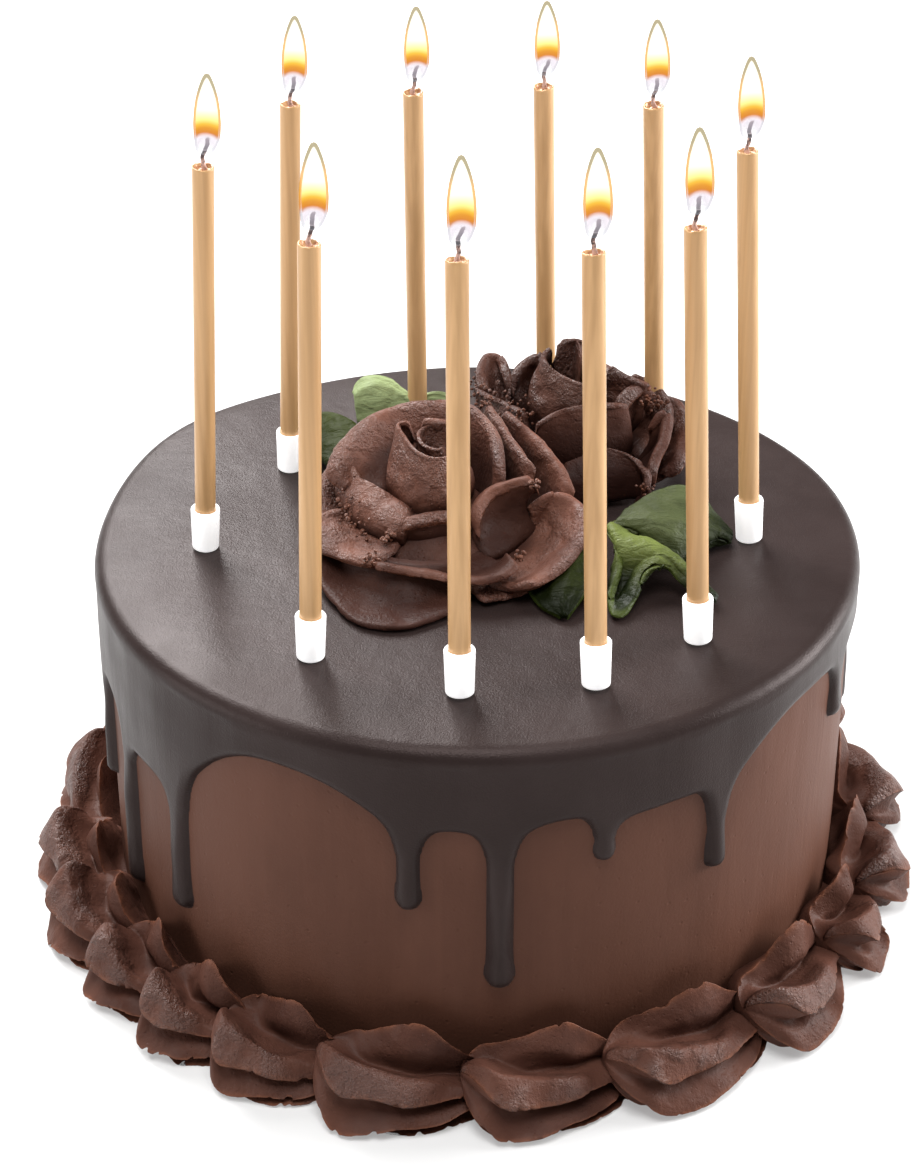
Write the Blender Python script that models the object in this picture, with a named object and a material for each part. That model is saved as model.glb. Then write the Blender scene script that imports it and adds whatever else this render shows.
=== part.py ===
"""A round birthday cake with lit candles, modelled in metres, +Z up, standing on z = 0.

The cake is a turned body of buttercream under a poured coat whose skirt runs down in drips. Two piped
roses with leaves lie on top, ten candles stand round them in their holders, and a border of piped
shells runs round the foot. The front of the cake faces -Y.
"""

import math
from typing import NamedTuple

import bmesh
import bpy
from mathutils import Matrix, Vector

GAP = 0.0003
WELD = 0.00001
FLAT_ANGLE = math.radians(1.0)
SHARP_ANGLE = math.radians(40.0)

# The cake and its poured coat.
CAKE_TOP_RADIUS = 0.0963
CAKE_FOOT_RADIUS = 0.0985
CAKE_HEIGHT = 0.0968
CAKE_CHAMFER = 0.0050
CAKE_SEGMENTS = 48
COAT_TOP = 0.0988
COAT_THICKNESS = 0.0017
COAT_SHOULDER = 0.0062
COAT_SIDE_GAP = 1.5 * GAP
COAT_COLUMN_SPACING = 4.0
SKIRT_SWEEP = 2.2
DRIP_BEAD = 0.0005
DRIP_COLUMNS = (-1.0, -0.88, -0.45, 0.45, 0.88, 1.0)
DRIP_ROUNDNESS = 3.2

# Where the top of the cake swells out of round: middle angle, spread and size of each swelling.
SWELLINGS = ((144.0, 14.0, 0.0046), (105.0, 45.0, 0.0016), (18.0, 16.0, 0.0017))

# Candles.
CANDLE_RADIUS = 0.0026
CANDLE_TOP = 0.1040
CANDLE_SIDES = 8
HOLDER_FOOT_RADIUS = 0.0034
HOLDER_RIM_RADIUS = 0.0037
HOLDER_HEIGHT = 0.0115
HOLDER_FLOOR = 0.0015
WICK_RADIUS = 0.0007
FLAME_RADIUS = 0.0032
FLAME_FOOT = 0.0045
FLAME_HEIGHT = 0.0180
FLAME_SIDES = 6

# Outlines as shares of the full radius and the full height.
CANDLE_RIM = 0.72
CANDLE_WELL = (0.55, 0.3)
FLAME_OUTLINE = ((0.72, 0.16), (1.0, 0.38), (0.72, 0.66), (0.3, 0.88), (0.06, 1.0))

# The border of piped shells.
SHELL_CENTRE_OUT = 0.0098
SHELL_CENTRE_HEIGHT = 0.0100
SHELL_FLANGES = ((-38.0, 0.0138), (4.0, 0.0132), (42.0, 0.0150), (84.0, 0.0172))
SHELL_VALLEY = 0.44
SHELL_DRAW_IN = 0.45
SHELL_DRAW_DOWN = 0.55
SHELL_TWIST = 16.0
SHELL_STATIONS = ((0.0, 0.62), (0.14, 0.97), (0.38, 1.0), (0.72, 0.74), (1.0, 0.46))

# Piped roses and leaves.
PETAL_THIN = 0.0012
PETAL_ROOT = 0.75
PETAL_SEAT = 0.0010
PETAL_FLARE = 1.5
PETAL_ROUNDING = 0.25
PETAL_CURL_FROM = 0.6
BUD_OUTLINE = ((1.0, 0.5), (0.95, 0.78))
BUD_WELL = (0.35, 0.25)
BUD_SIDES = 12
ROSE_FOOT = COAT_TOP + GAP
CLEARANCE = 3.0 * GAP
ROSE_MEETING = 0.0295
ROSE_EASING = 0.0080
LEAF_LIFT = 0.0042
LEAF_LOWEST = 0.0016
LEAF_EDGE = 0.0014
LEAF_RIB = 0.0016
LEAF_DROOP = 0.55
LEAF_GROOVE = 0.22


class Drip(NamedTuple):
    """One drip of the coat's skirt, and the arch between it and the next one round."""

    angle: float
    width: float
    tip: float
    root: float
    arch_angle: float
    arch: float


class Petal(NamedTuple):
    """A piped petal round a rose's axis: where it sits, how far it reaches and how high it stands."""

    middle: float
    spread: float
    foot: float
    start_reach: float
    end_reach: float
    rise: float
    sag: float
    curl: float


class Leaf(NamedTuple):
    """A piped leaf, from the point where it starts to the way it heads."""

    x: float
    y: float
    heading: float
    length: float
    width: float
    arch: float
    ruffle: float
    ruffles: float


class Candle(NamedTuple):
    """Where a candle stands, and how many degrees it leans toward +X and toward +Y."""

    x: float
    y: float
    lean_x: float
    lean_y: float


DRIPS = (
    Drip(-166.0, 0.0045, 0.0600, 0.0300, -161.0, 0.0265),
    Drip(-153.5, 0.0070, 0.0800, 0.0360, -146.0, 0.0355),
    Drip(-138.5, 0.0075, 0.0715, 0.038, -118.5, 0.0125),
    Drip(-99.7, 0.0060, 0.0465, 0.0275, -93.6, 0.0232),
    Drip(-87.0, 0.0070, 0.0690, 0.0285, -77.5, 0.0212),
    Drip(-72.5, 0.0052, 0.0345, 0.0245, -59.5, 0.0226),
    Drip(-54.5, 0.0060, 0.0470, 0.0285, -36.0, 0.0118),
    Drip(-23.5, 0.0070, 0.0310, 0.0160, -12.0, 0.0130),
    Drip(2.0, 0.0065, 0.0560, 0.0270, 19.0, 0.0160),
    Drip(34.0, 0.0060, 0.0410, 0.0250, 52.0, 0.0135),
    Drip(68.0, 0.0072, 0.0660, 0.0290, 86.0, 0.0180),
    Drip(101.0, 0.0056, 0.0380, 0.0240, 117.0, 0.0150),
    Drip(133.0, 0.0068, 0.0600, 0.0280, 150.0, 0.0155),
    Drip(168.0, 0.0060, 0.0450, 0.0260, 182.0, 0.0220),
)

ROSE_FRONT = (-0.0120, -0.0050)
ROSE_FRONT_BUD = (0.0225, 0.0100, 0.0060, 0.0300)
ROSE_FRONT_PETALS = (
    Petal(-75.0, 100.0, 0.0140, 0.0092, 0.0108, 0.0300, 0.12, 0.0000),
    Petal(100.0, 95.0, 0.0138, 0.0100, 0.0125, 0.0315, 0.12, 0.0000),
    Petal(127.0, 76.0, 0.0165, 0.0195, 0.0210, 0.0280, 0.30, 0.0015),
    Petal(-138.0, 42.0, 0.0160, 0.0215, 0.0185, 0.0230, 0.35, 0.0010),
    Petal(12.0, 46.0, 0.0140, 0.0175, 0.0165, 0.0275, 0.40, 0.0005),
    Petal(14.0, 36.0, 0.0190, 0.0245, 0.0215, 0.0250, 0.45, 0.0010),
    Petal(18.0, 40.0, 0.0235, 0.0315, 0.0280, 0.0225, 0.50, 0.0015),
    Petal(-91.0, 36.0, 0.0185, 0.0260, 0.0265, 0.0195, 0.40, 0.0030),
    Petal(-33.0, 32.0, 0.0170, 0.0215, 0.0240, 0.0215, 0.45, 0.0010),
    Petal(-40.0, 36.0, 0.0255, 0.0375, 0.0365, 0.0150, 0.45, 0.0030),
    Petal(-98.0, 42.0, 0.0250, 0.0335, 0.0375, 0.0135, 0.30, 0.0030),
    Petal(-108.0, 36.0, 0.0280, 0.0405, 0.0405, 0.0050, 0.20, 0.0020),
    Petal(165.0, 44.0, 0.0220, 0.0270, 0.0265, 0.0150, 0.40, 0.0030),
    Petal(92.0, 44.0, 0.0210, 0.0265, 0.0265, 0.0160, 0.40, 0.0030),
)

ROSE_BACK = (0.0240, 0.0330)
ROSE_BACK_BUD = (0.0148, 0.0080, 0.0046, 0.0345)
ROSE_BACK_PETALS = (
    Petal(-95.0, 100.0, 0.0112, 0.0074, 0.0088, 0.0345, 0.10, 0.0000),
    Petal(85.0, 95.0, 0.0110, 0.0080, 0.0098, 0.0355, 0.10, 0.0000),
    Petal(165.0, 48.0, 0.0115, 0.0135, 0.0140, 0.0290, 0.40, 0.0010),
    Petal(-66.0, 60.0, 0.0120, 0.0145, 0.0150, 0.0245, 0.35, 0.0015),
    Petal(48.0, 58.0, 0.0115, 0.0140, 0.0140, 0.0280, 0.40, 0.0010),
    Petal(150.0, 24.0, 0.0175, 0.0230, 0.0230, 0.0255, 0.50, 0.0010),
    Petal(-14.0, 32.0, 0.0165, 0.0205, 0.0205, 0.0250, 0.40, 0.0010),
    Petal(-24.0, 30.0, 0.0215, 0.0290, 0.0285, 0.0225, 0.50, 0.0020),
    Petal(-68.0, 40.0, 0.0185, 0.0240, 0.0265, 0.0160, 0.45, 0.0010),
    Petal(-64.0, 34.0, 0.0235, 0.0320, 0.0330, 0.0060, 0.20, 0.0020),
    Petal(88.0, 44.0, 0.0125, 0.0145, 0.0145, 0.0235, 0.45, 0.0010),
    Petal(158.0, 28.0, 0.0195, 0.0240, 0.0240, 0.0160, 0.40, 0.0020),
    Petal(62.0, 22.0, 0.0180, 0.0235, 0.0235, 0.0150, 0.40, 0.0020),
    Petal(-150.0, 40.0, 0.0150, 0.0190, 0.0190, 0.0160, 0.40, 0.0010),
)

LEAVES = (
    Leaf(0.0095, -0.0180, -76.0, 0.0270, 0.0190, 0.0055, 0.0022, 1.5),
    Leaf(0.0250, -0.0130, -39.0, 0.0430, 0.0240, 0.0085, 0.0036, 2.5),
    Leaf(0.0330, 0.0040, -14.0, 0.0330, 0.0280, 0.0095, 0.0010, 1.0),
    Leaf(-0.0165, 0.0200, 118.0, 0.0350, 0.0200, 0.0170, 0.0022, 1.5),
    Leaf(-0.0025, 0.0200, 96.0, 0.0300, 0.0160, 0.0170, 0.0018, 1.0),
    Leaf(-0.0250, 0.0050, 142.0, 0.0290, 0.0200, 0.0100, 0.0022, 1.5),
)

CANDLES = (
    Candle(-0.0694, -0.0093, 3.3, -2.0),
    Candle(-0.0506, 0.0327, 2.5, -2.0),
    Candle(-0.0396, -0.0602, 1.8, 1.3),
    Candle(-0.0160, 0.0480, 0.0, -5.4),
    Candle(-0.0043, -0.0756, -0.3, 5.2),
    Candle(0.0198, 0.0520, -1.7, -5.2),
    Candle(0.0273, -0.0723, -1.8, 5.8),
    Candle(0.0492, 0.0420, -3.2, -6.8),
    Candle(0.0527, -0.0528, -3.3, 2.0),
    Candle(0.0701, -0.0052, -3.9, 1.4),
)

# Head angle of each shell, counter-clockwise seen from above, and its size against the first.
SHELLS = (
    (-173.5, 1.02),
    (-159.5, 1.08),
    (-146.5, 1.06),
    (-135.0, 1.05),
    (-123.5, 1.02),
    (-108.5, 1.04),
    (-89.7, 1.00),
    (-70.8, 1.02),
    (-50.0, 1.04),
    (-32.0, 0.98),
    (-18.0, 1.00),
    (-1.0, 1.00),
    (19.0, 0.90),
    (40.0, 0.80),
    (61.0, 0.95),
    (82.0, 1.00),
    (103.0, 1.03),
    (124.0, 1.00),
    (145.5, 1.02),
    (166.5, 0.96),
)


def clear_scene() -> None:
    """Removes whatever the scene holds."""
    for thing in list(bpy.data.objects):
        bpy.data.objects.remove(thing, do_unlink=True)


def finish(name: str, colour: tuple, roughness: float, metallic: float = 0.0):
    """A Principled material of one colour."""
    material = bpy.data.materials.new(name)
    material.use_nodes = True
    shader = material.node_tree.nodes["Principled BSDF"]
    shader.inputs["Base Color"].default_value = (*colour, 1.0)
    shader.inputs["Roughness"].default_value = roughness
    shader.inputs["Metallic"].default_value = metallic
    return material


def place(name: str, shape, material):
    """Turns a bmesh into an object of this name with outward faces and one material."""
    bmesh.ops.recalc_face_normals(shape, faces=shape.faces)
    mesh = bpy.data.meshes.new(name)
    shape.to_mesh(mesh)
    shape.free()
    mesh.shade_smooth()
    mesh.set_sharp_from_angle(angle=SHARP_ANGLE)
    if material:
        mesh.materials.append(material)
    thing = bpy.data.objects.new(name, mesh)
    bpy.context.scene.collection.objects.link(thing)
    return thing


def hide(helper) -> None:
    """Keeps a cutter or a guide out of the model."""
    helper.hide_render = True
    helper.display_type = "WIRE"


def shells_of(shape) -> list:
    """The faces of a bmesh, grouped into shells that don't touch each other."""
    left = set(shape.faces)
    shells = []
    while left:
        front = [left.pop()]
        shell = list(front)
        while front:
            face = front.pop()
            for edge in face.edges:
                for neighbour in edge.link_faces:
                    if neighbour in left:
                        left.remove(neighbour)
                        front.append(neighbour)
                        shell.append(neighbour)
        shells.append(shell)
    return shells


def keep_outer_shell(thing) -> None:
    """Applies an object's modifiers and keeps its largest shell, without sealed pockets or scraps."""
    shape = bmesh.new()
    shape.from_object(thing, bpy.context.evaluated_depsgraph_get())
    bmesh.ops.remove_doubles(shape, verts=shape.verts, dist=WELD)
    bmesh.ops.dissolve_degenerate(shape, edges=shape.edges, dist=WELD)
    bmesh.ops.dissolve_limit(
        shape, angle_limit=FLAT_ANGLE, verts=shape.verts, edges=shape.edges
    )
    shells = shells_of(shape)
    outer = max(shells, key=lambda shell: sum(face.calc_area() for face in shell))
    pockets = [face for shell in shells if shell is not outer for face in shell]
    bmesh.ops.delete(shape, geom=pockets, context="FACES")
    thing.modifiers.clear()
    shape.to_mesh(thing.data)
    shape.free()


def loft(rings: list):
    """A closed bmesh through rings of equally many points, with both ends filled."""
    shape = bmesh.new()
    place_in_ring = shape.verts.layers.int.new("place_in_ring")
    corners = []
    for index, point in enumerate(rings[0]):
        corner = shape.verts.new(point)
        corner[place_in_ring] = index
        corners.append(corner)
    start_cap = shape.faces.new(corners)
    edges = list(start_cap.edges)
    for ring in rings[1:]:
        grown = bmesh.ops.extrude_edge_only(shape, edges=edges)["geom"]
        for part in grown:
            if isinstance(part, bmesh.types.BMVert):
                part.co = ring[part[place_in_ring]]
        edges = [
            part
            for part in grown
            if isinstance(part, bmesh.types.BMEdge) and part.is_boundary
        ]
    bmesh.ops.contextual_create(shape, geom=edges)
    return shape


def turned(profile: list, segments: int):
    """A closed bmesh turned about Z from (radius, height) points, both ends flat."""
    rings = []
    for radius, height in profile:
        ring = []
        for index in range(segments):
            angle = 2.0 * math.pi * index / segments
            ring.append(Vector((radius * math.cos(angle), radius * math.sin(angle), height)))
        rings.append(ring)
    return loft(rings)


def slab(across: int, along: int, warp):
    """A closed sheet of across by along faces, each point sent by warp(u, v, under) to its place."""
    shape = bmesh.new()
    bmesh.ops.create_grid(shape, x_segments=across, y_segments=along, size=1.0)
    grown = bmesh.ops.extrude_face_region(shape, geom=shape.faces[:], use_keep_orig=True)["geom"]
    lower = [part for part in grown if isinstance(part, bmesh.types.BMVert)]
    bmesh.ops.translate(shape, verts=lower, vec=(0.0, 0.0, -1.0))
    for corner in shape.verts:
        corner.co = warp(corner.co.x, corner.co.y, -corner.co.z)
    return shape


def cake_radius(height: float) -> float:
    """Radius of the buttercream side at a height."""
    share = height / CAKE_HEIGHT
    return CAKE_FOOT_RADIUS + (CAKE_TOP_RADIUS - CAKE_FOOT_RADIUS) * share


def swollen(point: Vector) -> Vector:
    """Moves a point of the cake or its coat outward where the cake swells, most at the top."""
    angle = math.degrees(math.atan2(point.y, point.x))
    swell = 0.0
    for middle, spread, size in SWELLINGS:
        off = (angle - middle + 180.0) % 360.0 - 180.0
        swell += size * math.exp(-0.5 * (off / spread) ** 2)
    outward = Vector((point.x, point.y, 0.0)).normalized()
    return point + outward * swell * point.z / COAT_TOP


def build_cake(material) -> None:
    """The solid cake of buttercream under the coat."""
    shoulder = CAKE_HEIGHT - CAKE_CHAMFER
    profile = [
        (CAKE_FOOT_RADIUS, 0.0),
        (cake_radius(shoulder), shoulder),
        (CAKE_TOP_RADIUS - CAKE_CHAMFER, CAKE_HEIGHT),
    ]
    body = turned(profile, CAKE_SEGMENTS)
    for corner in body.verts:
        corner.co = swollen(corner.co)
    place("cake_body", body, material)


def half_width(drip: Drip) -> float:
    """Half of a drip's width, in degrees round the cake."""
    return math.degrees(0.5 * drip.width / CAKE_TOP_RADIUS)


def skirt_depth(angle: float) -> float:
    """How far the coat runs down the side at an angle: arches between drips, and round-ended drips."""
    for index, drip in enumerate(DRIPS):
        follower = DRIPS[(index + 1) % len(DRIPS)]
        turn = (angle - drip.angle) % 360.0
        span = (follower.angle - drip.angle) % 360.0
        if turn >= span:
            continue
        crest = (drip.arch_angle - drip.angle) % 360.0
        if turn <= half_width(drip):
            return tongue_depth(drip, turn / half_width(drip))
        if span - turn <= half_width(follower):
            return tongue_depth(follower, (span - turn) / half_width(follower))
        if turn <= crest:
            share = (crest - turn) / (crest - half_width(drip))
            return drip.arch + (drip.root - drip.arch) * share**SKIRT_SWEEP
        share = (turn - crest) / (span - crest - half_width(follower))
        return drip.arch + (follower.root - drip.arch) * share**SKIRT_SWEEP
    return DRIPS[0].arch


def tongue_depth(drip: Drip, share: float) -> float:
    """Depth of a drip's outline at a share of its half width from its middle."""
    rounding = (1.0 - share**DRIP_ROUNDNESS) ** (1.0 / DRIP_ROUNDNESS)
    return drip.root + (drip.tip - drip.root) * rounding


def coat_angles() -> list:
    """The columns of the coat's mesh, close together across each drip."""
    angles = []
    for index, drip in enumerate(DRIPS):
        follower = DRIPS[(index + 1) % len(DRIPS)]
        for share in DRIP_COLUMNS:
            angles.append(drip.angle + share * half_width(drip))
        crest = drip.angle + (drip.arch_angle - drip.angle) % 360.0
        after = drip.angle + half_width(drip)
        before = drip.angle + (follower.angle - drip.angle) % 360.0 - half_width(follower)
        if crest - after > COAT_COLUMN_SPACING:
            angles.append(0.6 * after + 0.4 * crest)
        angles.append(crest)
        if before - crest > COAT_COLUMN_SPACING:
            angles.append(0.6 * before + 0.4 * crest)
    return angles


def coat_column(angle: float) -> list:
    """The coat's section at one angle, from the middle of its top round its lip to its underside."""
    depth = skirt_depth(angle)
    low = COAT_TOP - depth
    outside = CAKE_TOP_RADIUS + GAP + COAT_THICKNESS
    inner_shoulder = CAKE_HEIGHT - CAKE_CHAMFER
    waist = COAT_TOP - 0.5 * (depth + COAT_SHOULDER)
    slant = COAT_SHOULDER * math.sqrt(0.5)
    bead_height = low + COAT_THICKNESS
    return [
        (outside - COAT_SHOULDER, COAT_TOP),
        (outside - COAT_SHOULDER + slant, COAT_TOP - COAT_SHOULDER + slant),
        (outside, COAT_TOP - COAT_SHOULDER),
        (cake_radius(waist) + GAP + COAT_THICKNESS, waist),
        (cake_radius(bead_height) + GAP + COAT_THICKNESS + DRIP_BEAD, bead_height),
        (cake_radius(low) + COAT_SIDE_GAP + 0.4 * COAT_THICKNESS, low),
        (cake_radius(low) + COAT_SIDE_GAP, low + 0.3 * COAT_THICKNESS),
        (cake_radius(inner_shoulder) + COAT_SIDE_GAP, inner_shoulder + 0.4 * GAP),
        (CAKE_TOP_RADIUS - CAKE_CHAMFER, CAKE_HEIGHT + COAT_SIDE_GAP),
    ]


def build_coat(material) -> None:
    """The poured coat: top, rounded shoulder and dripping skirt."""
    angles = coat_angles()
    columns = [coat_column(angle) for angle in angles]
    rings = []
    for row in range(len(columns[0])):
        ring = []
        for angle, column in zip(angles, columns):
            radius, height = column[row]
            turn = math.radians(angle)
            ring.append(swollen(Vector((radius * math.cos(turn), radius * math.sin(turn), height))))
        rings.append(ring)
    place("ganache_coat", loft(rings), material)


def candle_frame(candle: Candle) -> Matrix:
    """A candle's frame: it stands on the coat and leans the way it was pushed in."""
    aslant = math.sin(math.radians(candle.lean_x))
    back = math.sin(math.radians(candle.lean_y))
    axis = Vector((aslant, back, math.sqrt(1.0 - aslant**2 - back**2)))
    lean = Vector((0.0, 0.0, 1.0)).rotation_difference(axis).to_matrix().to_4x4()
    lift = GAP + HOLDER_FOOT_RADIUS * math.hypot(aslant, back)
    return Matrix.Translation((candle.x, candle.y, COAT_TOP + lift)) @ lean


def build_candles(wax, plastic, flame) -> None:
    """Ten candles, each in its cup-shaped holder, with a lit wick above."""
    bore = CANDLE_RADIUS + GAP
    seat = HOLDER_FLOOR + GAP
    holder = [
        (HOLDER_FOOT_RADIUS, 0.0),
        (HOLDER_RIM_RADIUS, HOLDER_HEIGHT),
        (bore, HOLDER_HEIGHT),
        (bore, HOLDER_FLOOR),
    ]
    well_radius, well_depth = (share * CANDLE_RADIUS for share in CANDLE_WELL)
    candle = [
        (CANDLE_RADIUS, seat),
        (CANDLE_RADIUS, CANDLE_TOP),
        (CANDLE_RIM * CANDLE_RADIUS, CANDLE_TOP),
        (well_radius, CANDLE_TOP - well_depth),
    ]
    flame_foot = CANDLE_TOP + FLAME_FOOT
    lit_wick = [(WICK_RADIUS, CANDLE_TOP - well_depth + GAP), (WICK_RADIUS, flame_foot)]
    for radius, height in FLAME_OUTLINE:
        lit_wick.append((radius * FLAME_RADIUS, flame_foot + height * FLAME_HEIGHT))
    for number, candle_place in enumerate(CANDLES, 1):
        frame = candle_frame(candle_place)
        pieces = (
            ("candle_holder", turned(holder, CANDLE_SIDES), plastic),
            ("candle", turned(candle, CANDLE_SIDES), wax),
            ("lit_wick", turned(lit_wick, FLAME_SIDES), flame),
        )
        for kind, shape, material in pieces:
            place(f"{kind}_{number:02d}", shape, material).matrix_world = frame


def shell_ring(size: float, along: float, scale: float, turn: float) -> list:
    """One star section of a shell, in the upright plane at an angle round the cake."""
    centre_out = CAKE_FOOT_RADIUS + SHELL_CENTRE_OUT * (1.0 - SHELL_DRAW_IN * (1.0 - scale)) * size
    centre_up = SHELL_CENTRE_HEIGHT * (1.0 - SHELL_DRAW_DOWN * (1.0 - scale)) * size
    inner = CAKE_FOOT_RADIUS + 2.0 * GAP
    twist = SHELL_TWIST * (0.4 - along)
    section = [(inner, 0.0)]
    previous = None
    for lean, reach in SHELL_FLANGES:
        direction = math.radians(lean + twist)
        if previous is not None:
            between = 0.5 * (direction + previous)
            dip = SHELL_VALLEY * reach * scale * size
            section.append((centre_out + dip * math.cos(between), centre_up + dip * math.sin(between)))
        tip = reach * scale * size
        section.append((centre_out + tip * math.cos(direction), centre_up + tip * math.sin(direction)))
        previous = direction
    section.append((inner, centre_up + SHELL_VALLEY * scale * size * SHELL_FLANGES[-1][1]))
    ring = []
    for out, up in section:
        out = max(out, inner)
        up = max(up, 0.0)
        ring.append(swollen(Vector((out * math.cos(turn), out * math.sin(turn), up))))
    return ring


def build_border(material) -> None:
    """The piped border: ruffled shells with a round head and a tail that tapers to the next head."""
    for number, (head, size) in enumerate(SHELLS, 1):
        next_head = SHELLS[number % len(SHELLS)][0]
        gap_angle = math.degrees(GAP / CAKE_FOOT_RADIUS)
        span = (next_head - head) % 360.0 - 1.5 * gap_angle
        rings = []
        for along, scale in SHELL_STATIONS:
            turn = math.radians(head + along * span)
            rings.append(shell_ring(size, along, scale, turn))
        place(f"border_shell_{number:02d}", loft(rings), material)


def petal_point(petal: Petal, u: float, v: float, under: float) -> Vector:
    """A point of a petal about the rose's axis; u runs round it and v up from its foot to its rim."""
    turn = math.radians(petal.middle + petal.spread * u)
    reach = petal.start_reach + (petal.end_reach - petal.start_reach) * (0.5 + 0.5 * u)
    up = 0.5 + 0.5 * v
    rim = petal.rise * (1.0 - petal.sag * u * u)
    round_off = 1.0 - PETAL_ROUNDING * u**4
    radius = petal.foot + (reach * round_off - petal.foot) * up**PETAL_FLARE
    radius += petal.curl * max(0.0, up - PETAL_CURL_FROM) / (1.0 - PETAL_CURL_FROM)
    thickness = PETAL_THIN + (PETAL_ROOT * petal.foot - PETAL_THIN) * (1.0 - up) ** PETAL_FLARE
    radius -= under * thickness
    height = PETAL_SEAT + (rim - PETAL_SEAT) * up
    return Vector((radius * math.cos(turn), radius * math.sin(turn), height))


def held_apart(point: Vector, away: Vector, limit: float) -> Vector:
    """Eases a point back from the plane where the two roses meet."""
    excess = point.dot(away) - (limit - ROSE_EASING)
    if excess <= 0.0:
        return point
    eased = ROSE_EASING * (1.0 - math.exp(-excess / ROSE_EASING))
    return point + away * (eased - excess)


def build_rose(name: str, centre: tuple, bud: tuple, petals: tuple, away: Vector, limit: float, material):
    """A rose of overlapping petals round a bud, fused into one body; returns its petals' points."""
    origin = Vector((*centre, ROSE_FOOT))
    mound, bud_foot, bud_rim, bud_height = bud
    well_radius, well_depth = BUD_WELL
    core_profile = [(mound, 0.0), (0.92 * mound, 0.2 * bud_height)]
    for radius, height in BUD_OUTLINE:
        core_profile.append((radius * bud_foot, height * bud_height))
    core_profile.append((bud_rim, bud_height))
    core_profile.append((0.7 * bud_rim, bud_height))
    core_profile.append((well_radius * bud_rim, bud_height * (1.0 - well_depth)))
    core = turned(core_profile, BUD_SIDES)
    for corner in core.verts:
        corner.co = held_apart(corner.co, away, limit) + origin
    rose = place(name, core, material)
    points = []
    group = bpy.data.collections.new(name + "_petals")
    bpy.context.scene.collection.children.link(group)
    for index, petal in enumerate(petals, 1):
        shape = slab(4, 2, lambda u, v, under, petal=petal: petal_point(petal, u, v, under))
        for corner in shape.verts:
            corner.co = held_apart(corner.co, away, limit) + origin
            points.append(corner.co.copy())
        guide = place(f"{name}_petal_{index:02d}", shape, None)
        bpy.context.scene.collection.objects.unlink(guide)
        group.objects.link(guide)
        hide(guide)
    union = rose.modifiers.new("fuse_petals", "BOOLEAN")
    union.operation = "UNION"
    union.solver = "EXACT"
    union.operand_type = "COLLECTION"
    union.collection = group
    keep_outer_shell(rose)
    return points


def build_clearance(name: str, points: list):
    """A hidden hull just outside a rose, which the leaves are cut back to."""
    shape = bmesh.new()
    for point in points:
        shape.verts.new(point)
    hull = bmesh.ops.convex_hull(shape, input=shape.verts)
    loose = [part for part in hull["geom_interior"] if isinstance(part, bmesh.types.BMVert)]
    bmesh.ops.delete(shape, geom=loose, context="VERTS")
    bmesh.ops.recalc_face_normals(shape, faces=shape.faces)
    middle = sum((corner.co for corner in shape.verts), Vector()) / len(shape.verts)
    for corner in shape.verts:
        outward = (corner.co - middle).normalized()
        corner.co += outward * CLEARANCE
    helper = place(name, shape, None)
    hide(helper)
    return helper


def leaf_point(leaf: Leaf, u: float, v: float, under: float) -> Vector:
    """A point of a leaf; v runs along it from foot to tip and u across it."""
    along = 0.5 + 0.5 * v
    half = 0.5 * leaf.width * max(0.05, math.sin(math.pi * (0.12 + 0.88 * along**0.75)))
    crown = leaf.arch * math.sin(math.pi * (0.15 + 0.85 * along))
    groove = LEAF_GROOVE * leaf.arch * (1.0 - abs(u)) ** 2
    wave = leaf.ruffle * u * u * math.sin(2.0 * math.pi * leaf.ruffles * along + 1.3 * u)
    height = LEAF_LIFT + crown * (1.0 - LEAF_DROOP * u * u) - groove + wave
    height = max(height, LEAF_LOWEST)
    depth = under * (LEAF_EDGE + LEAF_RIB * (1.0 - u * u))
    height = max(height - depth, 0.0)
    heading = math.radians(leaf.heading)
    run = leaf.length * along
    x = leaf.x + run * math.cos(heading) - half * u * math.sin(heading)
    y = leaf.y + run * math.sin(heading) + half * u * math.cos(heading)
    return Vector((x, y, COAT_TOP + GAP + height))


def build_leaves(clearances: list, material) -> None:
    """The leaves, cut back where they would run into the roses."""
    for number, leaf in enumerate(LEAVES, 1):
        shape = slab(4, 5, lambda u, v, under, leaf=leaf: leaf_point(leaf, u, v, under))
        thing = place(f"leaf_{number:02d}", shape, material)
        for clearance in clearances:
            cut = thing.modifiers.new("clear_" + clearance.name, "BOOLEAN")
            cut.operation = "DIFFERENCE"
            cut.solver = "EXACT"
            cut.object = clearance
        keep_outer_shell(thing)


def main() -> None:
    """Builds the whole cake."""
    clear_scene()
    buttercream = finish("chocolate_buttercream", (0.115, 0.046, 0.030), 0.7)
    ganache = finish("dark_ganache", (0.040, 0.026, 0.024), 0.35)
    piped = finish("piped_chocolate", (0.110, 0.047, 0.032), 0.6)
    green = finish("green_icing", (0.105, 0.205, 0.055), 0.5)
    wax = finish("gold_wax", (0.560, 0.330, 0.140), 0.4, 0.3)
    plastic = finish("white_plastic", (0.850, 0.850, 0.840), 0.35)
    flame = finish("flame_glow", (1.000, 0.640, 0.200), 0.5)
    build_cake(buttercream)
    build_coat(ganache)
    apart = Vector((ROSE_BACK[0] - ROSE_FRONT[0], ROSE_BACK[1] - ROSE_FRONT[1], 0.0))
    toward_back = apart.normalized()
    back_limit = apart.length - ROSE_MEETING - GAP
    front_points = build_rose(
        "rose_front", ROSE_FRONT, ROSE_FRONT_BUD, ROSE_FRONT_PETALS, toward_back, ROSE_MEETING, piped
    )
    back_points = build_rose(
        "rose_back", ROSE_BACK, ROSE_BACK_BUD, ROSE_BACK_PETALS, -toward_back, back_limit, piped
    )
    clearances = [
        build_clearance("rose_front_clearance", front_points),
        build_clearance("rose_back_clearance", back_points),
    ]
    build_leaves(clearances, green)
    build_candles(wax, plastic, flame)
    build_border(piped)


main()
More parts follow.
